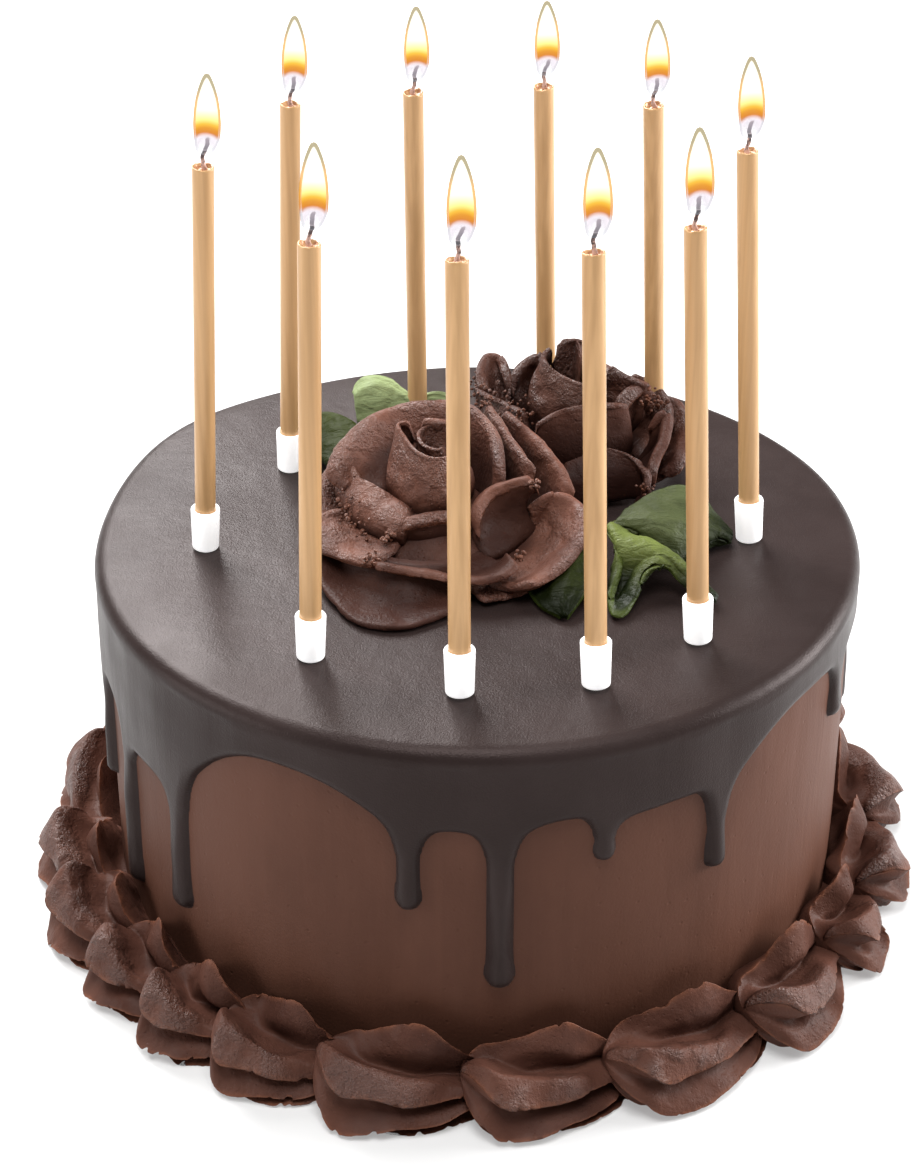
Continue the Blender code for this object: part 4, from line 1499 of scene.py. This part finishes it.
LEAVES = (
    Leaf("leaf_01", LeafTone.DEEP_SHADED, (
        (
            (22.2, -12.9, 4.0), (15.6, -20.5, 2.5), (12.2, -28.8, 1.2), (15.0, -39.5, 1.2),
            (20.1, -44.7, 1.2),
        ),
        (
            (26.9, -14.2, 8.5), (24.9, -23.4, 8.0), (22.1, -32.3, 6.0), (20.6, -40.2, 3.5),
            (21.1, -44.9, 1.2),
        ),
        (
            (30.5, -14.2, 7.0), (32.2, -20.1, 6.0), (29.9, -28.3, 3.5), (25.9, -39.0, 3.5),
            (21.7, -45.3, 1.2),
        ),
    )),
    Leaf("leaf_02", LeafTone.FRESH, (
        (
            (32.9, -19.7, 9.0), (35.4, -26.0, 8.5), (35.2, -30.8, 6.0), (32.6, -37.9, 3.0),
            (32.3, -43.6, 1.6), (34.5, -44.8, 1.4), (36.9, -42.4, 1.6), (38.9, -36.6, 3.0),
            (39.8, -33.6, 5.0), (41.7, -31.5, 7.0), (44.4, -30.5, 7.5), (47.0, -30.7, 6.5),
            (49.0, -32.2, 4.5), (51.7, -32.7, 2.5), (54.9, -34.4, 1.6), (58.5, -38.4, 1.4),
        ),
        (
            (33.0, -17.5, 9.5), (35.0, -24.0, 8.8), (34.2, -30.0, 2.6), (36.8, -31.5, 1.4),
            (41.2, -28.6, 6.8), (45.8, -29.0, 8.2), (51.8, -31.8, 4.6), (58.5, -38.0, 1.5),
        ),
        (
            (33.3, -15.4, 10.5), (34.4, -18.7, 10.8), (35.6, -21.6, 10.6), (36.9, -23.6, 10.6),
            (39.6, -24.6, 10.4), (45.5, -26.4, 9.2), (51.9, -30.4, 6.0), (58.6, -37.5, 1.8),
        ),
        ((35.3, -5.8, 6.0), (39.7, -12.6, 6.0), (46.0, -18.9, 5.0), (52.5, -23.8, 2.5), (58.9, -36.2, 1.4)),
    )),
    Leaf("leaf_03", LeafTone.GREY_SHADED, (
        (
            (33.1, -13.5, 8.5), (38.7, -16.0, 8.0), (44.2, -20.7, 6.5), (49.1, -23.1, 4.0),
            (54.7, -17.3, 2.5), (60.5, -10.5, 1.6), (65.1, -9.5, 1.4),
        ),
        (
            (34.7, -13.4, 10.0), (42.6, -16.2, 12.0), (49.3, -15.8, 11.0), (56.5, -12.6, 8.0),
            (65.3, -8.5, 2.0),
        ),
        (
            (37.8, -7.6, 9.0), (42.2, -3.3, 10.5), (47.3, 1.4, 11.0), (52.7, 4.4, 10.5), (57.3, 4.3, 9.0),
            (61.0, 0.1, 5.0), (65.7, -6.4, 2.0),
        ),
    )),
    Leaf("leaf_04", LeafTone.PALE_LIT, (
        ((-32.6, 43.9, 8.0), (-27.6, 42.8, 8.0), (-22.8, 44.0, 9.5), (-16.9, 46.4, 11.0)),
        ((-33.4, 46.5, 14.0), (-28.3, 47.0, 16.5), (-23.3, 47.9, 15.5), (-16.9, 46.1, 13.0)),
        (
            (-33.4, 49.6, 14.0), (-32.6, 52.6, 16.0), (-28.8, 53.6, 17.6), (-23.9, 53.2, 17.0),
            (-20.9, 50.9, 15.4), (-16.7, 46.8, 13.0),
        ),
    )),
    Leaf("leaf_05", LeafTone.PALE_LIT, (
        ((-16.5, 49.4, 10.0), (-11.1, 48.3, 10.0), (-4.2, 49.4, 10.0)),
        ((-16.4, 47.6, 12.0), (-11.0, 48.4, 13.0), (-4.2, 48.7, 12.0)),
        (
            (-16.5, 47.3, 13.0), (-14.0, 49.2, 14.5), (-11.1, 49.8, 15.0), (-7.6, 49.7, 14.5),
            (-3.7, 48.9, 13.0),
        ),
    )),
    Leaf("leaf_06", LeafTone.DEEP_SHADED, (
        (
            (-44.8, 31.1, 1.5), (-41.7, 33.1, 4.0), (-39.5, 27.6, 4.5), (-37.4, 19.5, 3.5),
            (-35.4, 10.6, 2.0),
        ),
        ((-45.4, 41.6, 3.0), (-41.7, 33.8, 5.5), (-37.9, 31.0, 7.0), (-33.0, 29.0, 7.0)),
        (
            (-45.8, 50.7, 6.0), (-42.5, 50.4, 8.0), (-40.2, 49.0, 9.0), (-36.0, 45.0, 9.5),
            (-31.7, 40.2, 9.0),
        ),
    )),
)


@dataclass
class PipedLeaves:
    """The leaves that lie under and between the roses."""

    coat_top: float
    leaves: tuple[Leaf, ...] = LEAVES
    thick: float = 0.0021
    step: float = 0.0007
    rows: int = 40
    edge_width: float = 0.07
    end_power: float = 40.0
    creases: float = 26.0
    crease: float = 0.00017
    swirl: float = 0.0005
    fine_swirl: float = 0.00022

    def leaf_mesh(self, leaf: Leaf, number: int) -> Mesh:
        """One leaf as a closed sheet with round edges."""
        base = Vector((0.0, 0.0, self.coat_top))
        curves = [Curve([base + Vector(point) / MILLI for point in line]) for line in leaf.lines]
        length = max(curve.length for curve in curves)
        columns = 2 * max(16, round(length / self.step / 2.0))
        shares = [0.5 - 0.5 * math.cos(math.pi * row / self.rows) for row in range(self.rows + 1)]
        seed = 4.3 * number

        def warp(spot: Spot) -> tuple[Vector, float, float]:
            share, middle, normal = spot.across, spot.middle, spot.normal
            if normal.z < 0.0:
                normal.negate()
            near = min(share, 1.0 - share) / self.edge_width
            edge = 1.0 - min(1.0, near)
            end = math.sqrt(max(0.0, 1.0 - abs(spot.along) ** self.end_power))
            half = 0.5 * self.thick * rounded(near) * end
            bent = self.creases * share + 1.5 * spot.along + 2.5 * wobble(middle, 0.012, seed)
            crease = self.crease * math.sin(bent) * math.sin(math.pi * share)
            swirl = self.swirl * wobble(middle, 0.005, seed) + self.fine_swirl * wobble(middle, 0.0016, seed)
            place = middle + normal * (spot.side * half + crease + swirl * (1.0 - 0.6 * edge))
            place.z = max(place.z, self.coat_top)
            # The rise grows with the point's height; the leaf finish paints high parts lighter as light and
            # low parts darker as shade.
            return place, smooth(place.z - self.coat_top, 0.003, 0.009), 1.0 - edge

        return Loft(curves, columns, shares).sheet(warp, Shade.RISE)

    def build(self, finishes: dict[LeafTone, Material]) -> None:
        """Pipes every leaf."""
        for number, leaf in enumerate(self.leaves, 1):
            shape = self.leaf_mesh(leaf, number)
            piece(f"piped_{leaf.node}", shape, finishes[leaf.tone], "green_icing", leaf.node)


# ---------------------------------------------------------------- the border


class Key(Enum):
    """What a point of a shell's section is: smooth, a corner or a lip.

    Its value, where above 0, is how much of the slope past it the section keeps.
    """

    SMOOTH = 1.0
    CORNER = 0.0
    LIP = -1.0


KEYS = (
    Key.CORNER, Key.SMOOTH, Key.SMOOTH, Key.LIP, Key.SMOOTH, Key.SMOOTH, Key.SMOOTH, Key.SMOOTH,
    Key.LIP, Key.SMOOTH, Key.SMOOTH, Key.SMOOTH, Key.LIP, Key.SMOOTH, Key.LIP, Key.CORNER,
)


@dataclass(frozen=True)
class Section:
    """A shell's section at a share of the way from its head to the next.

    Each point is (out from the cake's foot, up from the table), in millimetres, in the order of the
    border's keys: up the cake's side, over the crest and down the outer ridges.
    """

    along: float
    points: tuple[Pair, ...]


SECTIONS = (
    Section(-0.14, (
        (2.0, 1.0), (1.0, 9.0), (1.8, 12.0), (3.0, 14.0), (4.6, 13.6), (6.5, 14.0), (9.0, 17.0),
        (11.5, 18.0), (13.5, 17.0), (13.0, 15.0), (14.0, 12.0), (16.5, 9.5), (19.5, 6.0), (16.0, 4.5),
        (16.0, 1.5), (12.0, 0.0),
    )),
    Section(0.0, (
        (-1.2, 0.0), (-1.2, 9.0), (0.3, 12.0), (2.4, 14.4), (4.4, 12.8), (7.4, 13.2), (11.8, 16.8),
        (15.2, 19.6), (18.8, 15.6), (18.2, 13.0), (17.0, 10.2), (19.8, 7.2), (22.0, 3.6), (17.2, 3.4),
        (17.5, 1.0), (13.0, 0.0),
    )),
    Section(0.14, (
        (-1.2, 0.0), (-1.2, 9.0), (0.3, 12.4), (2.8, 15.4), (4.8, 12.6), (7.4, 11.2), (12.4, 14.6),
        (16.8, 18.4), (21.6, 11.6), (19.8, 10.4), (16.8, 8.2), (20.0, 5.6), (22.8, 1.6), (16.8, 2.0),
        (18.5, 0.6), (13.0, 0.0),
    )),
    Section(0.30, (
        (-1.2, 0.0), (-1.2, 8.8), (0.8, 12.6), (4.0, 18.2), (6.4, 13.6), (7.8, 9.8), (12.4, 12.4),
        (16.8, 16.4), (20.8, 10.2), (18.4, 9.3), (15.4, 7.4), (19.2, 5.2), (22.6, 2.1), (15.2, 1.8),
        (19.2, 0.6), (13.0, 0.0),
    )),
    Section(0.46, (
        (-1.2, 0.0), (-1.2, 7.8), (1.6, 11.2), (5.4, 21.6), (8.4, 15.8), (7.8, 9.6), (12.0, 10.8),
        (16.2, 14.2), (19.2, 9.2), (16.8, 8.5), (14.2, 6.9), (18.2, 5.0), (21.6, 2.8), (14.4, 1.9),
        (19.6, 0.7), (13.0, 0.0),
    )),
    Section(0.62, (
        (-1.2, 0.0), (-1.2, 7.0), (1.8, 9.5), (6.2, 22.8), (8.8, 15.4), (7.2, 8.8), (10.8, 9.4),
        (14.8, 12.2), (17.4, 8.4), (15.2, 7.8), (12.8, 6.2), (16.8, 4.6), (20.0, 2.9), (13.2, 1.8),
        (19.0, 0.6), (13.0, 0.0),
    )),
    Section(0.80, (
        (-1.2, 0.0), (-1.2, 6.0), (1.4, 8.5), (6.6, 18.0), (6.6, 12.4), (5.8, 8.2), (8.8, 8.8), (12.8, 9.6),
        (14.8, 7.7), (11.8, 6.8), (9.6, 5.6), (14.2, 4.3), (17.2, 2.8), (11.6, 1.7), (16.6, 0.6),
        (12.0, 0.0),
    )),
    Section(1.0, (
        (-1.2, 0.0), (-1.2, 5.0), (1.0, 7.0), (5.0, 12.0), (4.6, 9.0), (4.8, 6.8), (7.4, 7.8), (10.4, 8.1),
        (12.4, 6.9), (9.4, 5.8), (7.6, 4.8), (10.6, 4.5), (13.2, 3.3), (9.2, 1.8), (13.2, 0.5), (10.0, 0.0),
    )),
    Section(1.16, (
        (-1.2, 0.0), (-1.2, 4.0), (0.8, 5.6), (4.0, 8.4), (3.8, 6.8), (4.0, 5.6), (5.8, 6.4), (7.8, 6.6),
        (9.2, 6.0), (7.2, 5.0), (6.2, 4.2), (8.0, 3.8), (10.0, 2.8), (7.2, 1.5), (10.0, 0.4), (8.0, 0.0),
    )),
)


@dataclass
class ShellBorder:
    """The piped shells round the foot: each starts in a round head and tapers under the next one.

    heart is the (out, up) that both ends close to. It, drift, tear, fray, lump and deepest are in
    millimetres.
    """

    form: CakeForm
    count: int = 20
    full_height: float = 0.02712
    keys: tuple[Key, ...] = KEYS
    sections: tuple[Section, ...] = SECTIONS
    heart: Pair = (9.0, 11.0)
    nose: float = 0.20
    end: float = 0.06
    drift: float = 1.8
    tear: float = 1.1
    fray: float = 0.10
    per_key: int = 8
    along: int = 84
    lump: Pair = (0.45, 0.35)
    deepest: float = -1.5

    def key_at(self, key: int, along: float, seed: float) -> Pair:
        """Where a key of the section lies at a share of the way along.

        Args:
            key: Its number.
            along: Share of the way from the shell's head to the next.
            seed: Makes each shell different.

        Returns:
            Out and up, in millimetres.
        """
        last = len(self.sections) - 1
        index = next((i for i in range(last - 1) if along < self.sections[i + 1].along), last - 1)
        before, low, high, after = (
            self.sections[min(max(index + step, 0), last)] for step in (-1, 0, 1, 2)
        )
        gap = high.along - low.along
        share = clamp((along - low.along) / gap)
        values = []
        for axis in (0, 1):
            start, end = low.points[key][axis], high.points[key][axis]
            out_slope = (end - before.points[key][axis]) / (high.along - before.along) * gap
            in_slope = (after.points[key][axis] - start) / (after.along - low.along) * gap
            value = eased(start, end, out_slope, in_slope, share)
            if self.keys[key] is not Key.CORNER:
                value += self.drift * noise.noise(Vector((2.6 * along, 1.9 * key + 40.0 * axis, seed)))
            values.append(value)
        return values[0], values[1]

    def between(self, places: list[Pair], index: int, share: float) -> Pair:
        """The point at a share of the way from a key of the section to the one after it."""
        total = len(places)
        ends = (index, (index + 1) % total)
        loose = [0.5 * max(0.0, self.keys[key].value) for key in ends]
        point = []
        for axis in (0, 1):
            slopes = [
                keep * (places[(key + 1) % total][axis] - places[key - 1][axis])
                for keep, key in zip(loose, ends)
            ]
            point.append(eased(places[ends[0]][axis], places[ends[1]][axis], *slopes, share))
        return point[0], point[1]

    def torn(self, along: float, key: int, seed: float) -> float:
        """How far a lip is torn back, at a share of the way along, in millimetres."""
        tear = noise.noise(Vector((17.0 * along, 3.7 * key, seed)))
        fray = noise.noise(Vector((70.0 * along, 5.1 * key, seed)))
        return self.tear * smooth(tear, 0.25, 0.4) + self.fray * (0.5 + fray)

    def shell_mesh(self, head: float, span: float, size: float, seed: float) -> Mesh:
        """One shell, lofted through its sections.

        Args:
            head: Angle round the cake where it starts.
            span: Angle from its head to the next shell's.
            size: Against the full size.
            seed: Makes each shell different.

        Returns:
            Its mesh.
        """
        total = len(self.keys)
        first, final = self.sections[0].along, self.sections[-1].along
        alongs = [first + (final - first) * (row / self.along) for row in range(self.along + 1)]
        rows = [[self.key_at(key, along, seed) for key in range(total)] for along in alongs]

        def warp(u: float, v: float) -> tuple[Vector, float, float]:
            row = round((0.5 + 0.5 * v) * self.along)
            share, along = row / self.along, alongs[row]
            step = (0.5 + 0.5 * u) * total
            index = min(int(step + 1e-6), total - 1)
            part = clamp(step - index)
            out, up = self.between(rows[row], index, part)
            out, up = out - self.heart[0], up - self.heart[1]
            nearest = index if part < 0.5 else (index + 1) % total
            lip = 0.0
            if self.keys[nearest] is Key.LIP:
                lip = smooth(1.0 - min(part, 1.0 - part) / 0.45)
            pull = -lip * self.torn(along, nearest, seed)
            reach = max(0.0, 1.0 + pull / max(math.hypot(out, up), 1.0))
            nose, tail = rounded(share / self.nose), rounded((1.0 - share) / self.end)
            out = (self.heart[0] + out * reach * nose * tail) * size
            up = (self.heart[1] + up * reach * nose * tail) * size
            lumps = Vector((36.0 * along, out, up))
            out += self.lump[0] * wobble(lumps, 6.0, seed) + 0.12 * wobble(lumps, 1.6, seed + 5.0)
            up += self.lump[1] * wobble(lumps, 6.5, seed + 9.0)
            up = max(up, 0.0) / MILLI
            angle = head + span * along
            radius = self.form.foot_radius + max(out, self.deepest) / MILLI + self.form.swell(angle, up)
            # The third value is high on the outer lobes; elsewhere the border's finish paints a little shade
            # and fewer grainy patches.
            outer = smooth(index + part, 5.5) * smooth((8.4 - index - part) / 0.8)
            return polar(angle, radius, up), lip, outer * smooth((0.85 - along) / 0.4)

        return closed_sheet(total * self.per_key, self.along, warp)

    def build(self, finish: Material) -> None:
        """Pipes every shell where its solid is."""
        for number in range(1, self.count + 1):
            node = f"border_shell_{number:02d}"
            low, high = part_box(node)
            size = (high.z - low.z) / self.full_height
            middle = bearing(low + high)
            turns = [turned(bearing(corner) - middle) for corner in corners_of(node)]
            head, span = middle + min(turns), max(turns) - min(turns)
            shape = self.shell_mesh(head, span, size, 1.7 * number)
            piece(f"piped_{node}", shape, finish, "piped_chocolate", node)


# ---------------------------------------------------------------- candles


@dataclass(frozen=True)
class CandleAxis:
    """Where a candle stands and which way it leans."""

    foot: Vector
    lean: Matrix
    candle_low: float
    candle_top: float
    holder_height: float

    @classmethod
    def of(cls, number: int) -> "CandleAxis":
        """Reads a candle's axis from the solids of the candle and its holder."""
        candle, holder = corners_of(f"candle_{number:02d}"), corners_of(f"candle_holder_{number:02d}")
        middle = sum(candle, Vector()) / len(candle)
        low = sum(holder, Vector()) / len(holder)
        axis = (middle - low).normalized()
        heights = [(corner - low).dot(axis) for corner in holder]
        foot = low + axis * min(heights)
        tall = [(corner - foot).dot(axis) for corner in candle]
        lean = UP.rotation_difference(axis).to_matrix().to_4x4()
        return cls(foot, lean, min(tall), max(tall), max(heights) - min(heights))

    def frame(self) -> Matrix:
        """The transform from the candle's own frame to the cake's."""
        return Matrix.Translation(self.foot) @ self.lean


@dataclass
class LitCandle:
    """A thin candle in its holder, with a wick and a flame.

    well is the candle's hollow top, as (share of its radius, depth), from the lip to the middle. skin is
    the flame's outline, as (height above the candle, half width), ending at the tip. It, heart_inset,
    heart_foot, arch and arch_height are in millimetres.
    """

    number: int
    radius: float = 0.0026
    holder_foot: float = 0.0034
    holder_rim: float = 0.0037
    foot_round: float = 0.0006
    bore_gap: float = 0.00015
    bore_floor: float = 0.0015
    lip: float = 0.00035
    stretches: int = 24
    well: tuple[Pair, ...] = (
        (0.78, 0.0002), (0.66, 0.0007), (0.45, 0.0010), (0.25, 0.0007), (0.0, 0.0006),
    )
    crumb: float = 0.00045
    steps: int = 32
    wick_radius: float = 0.00048
    wick_height: float = 0.0082
    wick_bend: float = 0.0013
    wick_sunk: float = 0.0010
    drift: float = 0.0010
    skin: tuple[Pair, ...] = (
        (3.5, 1.95), (5.2, 2.60), (7.3, 3.08), (10.4, 3.22), (13.5, 3.02), (16.7, 2.55), (19.2, 1.88),
        (21.3, 1.10), (22.4, 0.50), (22.8, 0.0),
    )
    heart_inset: float = 0.66
    heart_foot: float = 4.4
    arch: float = 1.5
    arch_height: float = 12.0
    flame_rows: int = 26

    def holder_mesh(self, axis: CandleAxis) -> Mesh:
        """The cup that the candle stands in."""
        height = axis.holder_height
        bore = self.radius + self.bore_gap
        rim = self.holder_rim
        edge = 0.5 * (rim - bore)
        profile = [(0.0, 0.0)]
        profile += arc((self.holder_foot - self.foot_round, self.foot_round), self.foot_round, -90.0, 0.0, 4)
        profile.append((0.5 * (self.holder_foot + rim), 0.5 * height))
        profile += arc((rim - edge, height - edge), edge, 0.0, 180.0, 8)
        profile += [(bore, self.bore_floor), (0.0, self.bore_floor)]
        return spun(profile, self.steps)

    def candle_mesh(self, axis: CandleAxis) -> Mesh:
        """The candle, with a rough well round the wick."""
        low, top = axis.candle_low, axis.candle_top
        profile = [(0.0, low), (self.radius, low)]
        for step in range(1, self.stretches):
            profile.append((self.radius, low + (top - low - 0.002) * step / self.stretches))
        profile += [(self.radius, top - 0.0016), (self.radius, top - 0.0008)]
        profile += arc((self.radius - self.lip, top - self.lip), self.lip, 0.0, 90.0, 4)
        profile += [(share * self.radius, top - sunk) for share, sunk in self.well]
        shape = spun(profile, self.steps)
        layer = shape.verts.layers.float.new(Shade.RIM.value)
        seed = float(self.number)
        for corner in shape.verts:
            near = smooth((corner.co.z - top + 0.0016) / 0.0014)
            reach = corner.co.xy.length
            corner[layer] = smooth((self.radius - 0.0003 - reach) / 0.0004) * near
            corner.co.z += self.crumb * wobble(corner.co, 0.0009, seed) * near
            if reach > 0.0 and near < 0.5:
                corner.co.x *= 1.0 + 0.006 * wobble(corner.co, 0.012, seed)
        return shape

    def wick_mesh(self, axis: CandleAxis) -> Mesh:
        """The wick, bending over to the right."""
        foot = axis.candle_top - self.wick_sunk

        def warp(u: float, v: float) -> tuple[Vector, float, float]:
            share = 0.5 + 0.5 * v
            turn = math.pi * u
            closing = math.sqrt(max(0.0, min(1.0, share / 0.04, (1.0 - share) / 0.05)))
            wax = 1.0 + 0.5 * max(0.0, 1.0 - share / 0.25)
            thick = self.wick_radius * wax * (1.0 + 0.16 * math.sin(3.0 * turn + 26.0 * share)) * closing
            bend = self.wick_bend * share**2.2
            crook = 0.00025 * math.sin(9.0 * share + self.number)
            height = foot + self.wick_height * share
            place = Vector((bend + crook + thick * math.cos(turn), thick * math.sin(turn), height))
            return place, share, 0.0

        return closed_sheet(14, 30, warp, Shade.RISE)

    def outline(self, height: float) -> float:
        """Half width of the flame at a height above the candle, both in millimetres."""
        for (low, first), (high, last) in zip(self.skin, self.skin[1:]):
            if low <= height <= high:
                return first + (last - first) * (height - low) / (high - low)
        return 0.0

    def flame_mesh(self, axis: CandleAxis, low: float, inset: float = 0.0) -> Mesh:
        """One skin of the flame, from a height above the candle to its tip.

        Args:
            axis: The candle's axis.
            low: Its lowest height, in millimetres above the candle.
            inset: How far it lies inside the flame's outline, in millimetres.

        Returns:
            Its mesh, with its rise as an attribute. The rise is ahead at the sides and behind in front, so
            that the flame's colours arch over the wick.
        """
        tip = self.skin[-1][0]
        top = tip - 1.6 * inset
        profile = [(0.0, low - 0.3)]
        for row in range(self.flame_rows):
            share = row / self.flame_rows
            half = self.outline(low + (tip - low) * share) - inset * (1.0 - 0.45 * share)
            profile.append((max(0.0, half), low + (top - low) * share))
        profile.append((0.0, top))
        shape = spun(profile, 36, MILLI)
        bmesh.ops.smooth_vert(
            shape, verts=shape.verts, factor=0.5, use_axis_x=True, use_axis_y=True, use_axis_z=True
        )
        layer = shape.verts.layers.float.new(Shade.RISE.value)
        for corner in shape.verts:
            height = MILLI * corner.co.z
            reach = corner.co.xy.length
            if reach > 0.0:
                sideways = 2.0 * (corner.co.x / reach) ** 2 - 1.0
                height += self.arch * sideways * max(0.0, 1.0 - (height - low) / self.arch_height)
            corner[layer] = clamp((height - low) / (top - low))
            corner.co.x += self.drift * smooth(corner.co.z, run=0.008)
            corner.co.z += axis.candle_top
        return shape

    def build(self, finishes: Finishes) -> None:
        """Makes the holder, candle, wick and flame in place."""
        axis = CandleAxis.of(self.number)
        heart = self.flame_mesh(axis, self.heart_foot, self.heart_inset)
        skin = self.flame_mesh(axis, self.skin[0][0])
        for name, shape, finish, slot, node in (
            ("cup", self.holder_mesh(axis), finishes.holder, "white_plastic", "candle_holder"),
            ("gold_candle", self.candle_mesh(axis), finishes.wax, "gold_wax", "candle"),
            ("wick", self.wick_mesh(axis), finishes.wick, "flame_glow", "lit_wick"),
            ("flame_heart", heart, finishes.flame_heart, "flame_glow", "lit_wick"),
            ("flame_skin", skin, finishes.flame_skin, "flame_glow", "lit_wick"),
        ):
            bmesh.ops.transform(shape, matrix=axis.frame(), verts=shape.verts)
            bmesh.ops.recalc_face_normals(shape, faces=shape.faces)
            piece(f"{name}_{self.number:02d}", shape, finish, slot, f"{node}_{self.number:02d}")


# ---------------------------------------------------------------- the studio


@dataclass(frozen=True)
class Softbox:
    """A square area light aimed at the cake."""

    name: str
    place: Point
    size: float
    watts: float


@dataclass
class Studio:
    """The pale floor, the soft lights and the camera. lens and sensor are in millimetres."""

    aim: Vector
    distance: float = 0.588
    elevation: float = 31.7
    lens: float = 68.5
    sensor: float = 36.0
    nearest: float = 0.01
    floor_half: float = 3.0
    softboxes: tuple[Softbox, ...] = (
        Softbox("back_left_softbox", (-0.54, 1.04, 1.11), 0.90, 50.0),
        Softbox("overhead_softbox", (-0.05, -0.35, 1.45), 0.8, 19.0),
        Softbox("right_softbox", (1.20, 0.28, 0.52), 0.7, 29.0),
        Softbox("low_left_softbox", (-1.20, -0.30, 0.38), 0.6, 6.5),
    )
    sky: float = 0.16

    def build_floor(self, finish: Material) -> None:
        """Lays the floor under the cake."""
        shape = bmesh.new()
        bmesh.ops.create_grid(shape, x_segments=2, y_segments=2, size=self.floor_half)
        floor = meshed("studio_floor", shape, finish)

    def build_lights(self) -> None:
        """Hangs the softboxes and lights the sky."""
        for box in self.softboxes:
            light = bpy.data.lights.new(box.name, "AREA")
            light.shape = "SQUARE"
            light.size = box.size
            light.energy = box.watts
            lamp = placed(box.name, light)
            lamp.location = box.place
            lamp.rotation_euler = (self.aim - Vector(box.place)).to_track_quat("-Z", "Y").to_euler()
        world = bpy.data.worlds.new("studio_sky")
        world.use_nodes = True
        background = world.node_tree.nodes["Background"]
        background.inputs["Color"].default_value = WHITE
        background.inputs["Strength"].default_value = self.sky
        bpy.context.scene.world = world

    def build_camera(self) -> None:
        """Aims the camera at the cake from the front."""
        pitch = math.radians(self.elevation)
        back = Vector((0.0, -math.cos(pitch), math.sin(pitch)))
        lens = bpy.data.cameras.new("cake_camera")
        lens.lens = self.lens
        lens.sensor_width = self.sensor
        lens.clip_start = self.nearest
        camera = placed("cake_camera", lens)
        camera.location = self.aim + back * self.distance
        camera.rotation_euler = (-back).to_track_quat("-Z", "Y").to_euler()
        bpy.context.scene.camera = camera
        bpy.context.scene.view_settings.view_transform = "Standard"


CANDLES = 10
TOP_TO_FOOT = 0.97766  # the cake's radius at its top against that at its foot


def main() -> None:
    """Builds the cake's looks in order."""
    logging.basicConfig(level=logging.INFO, format="%(name)s %(message)s")
    finishes = Finishes()
    cake_low, cake_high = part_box("cake_body")
    coat_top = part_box("ganache_coat")[1].z
    foot_radius = 0.5 * (cake_high.x - cake_low.x)
    form = CakeForm(foot_radius, TOP_TO_FOOT * foot_radius, cake_high.z, coat_top)
    SmoothedCake(form).build(finishes.smoothed)
    PouredCoat(form).build(finishes.ganache)
    for rose, finish in zip(roses(), (finishes.piped, finishes.piped_behind_shaded)):
        rose.build(finish)
    PipedLeaves(coat_top).build(finishes.leaves)
    ShellBorder(form).build(finishes.border)
    for number in range(1, CANDLES + 1):
        LitCandle(number).build(finishes)
    studio = Studio(Vector((-0.0038, 0.0, 0.826 * coat_top)))
    studio.build_floor(finishes.floor)
    studio.build_lights()
    studio.build_camera()


if __name__ == "__main__":
    main()
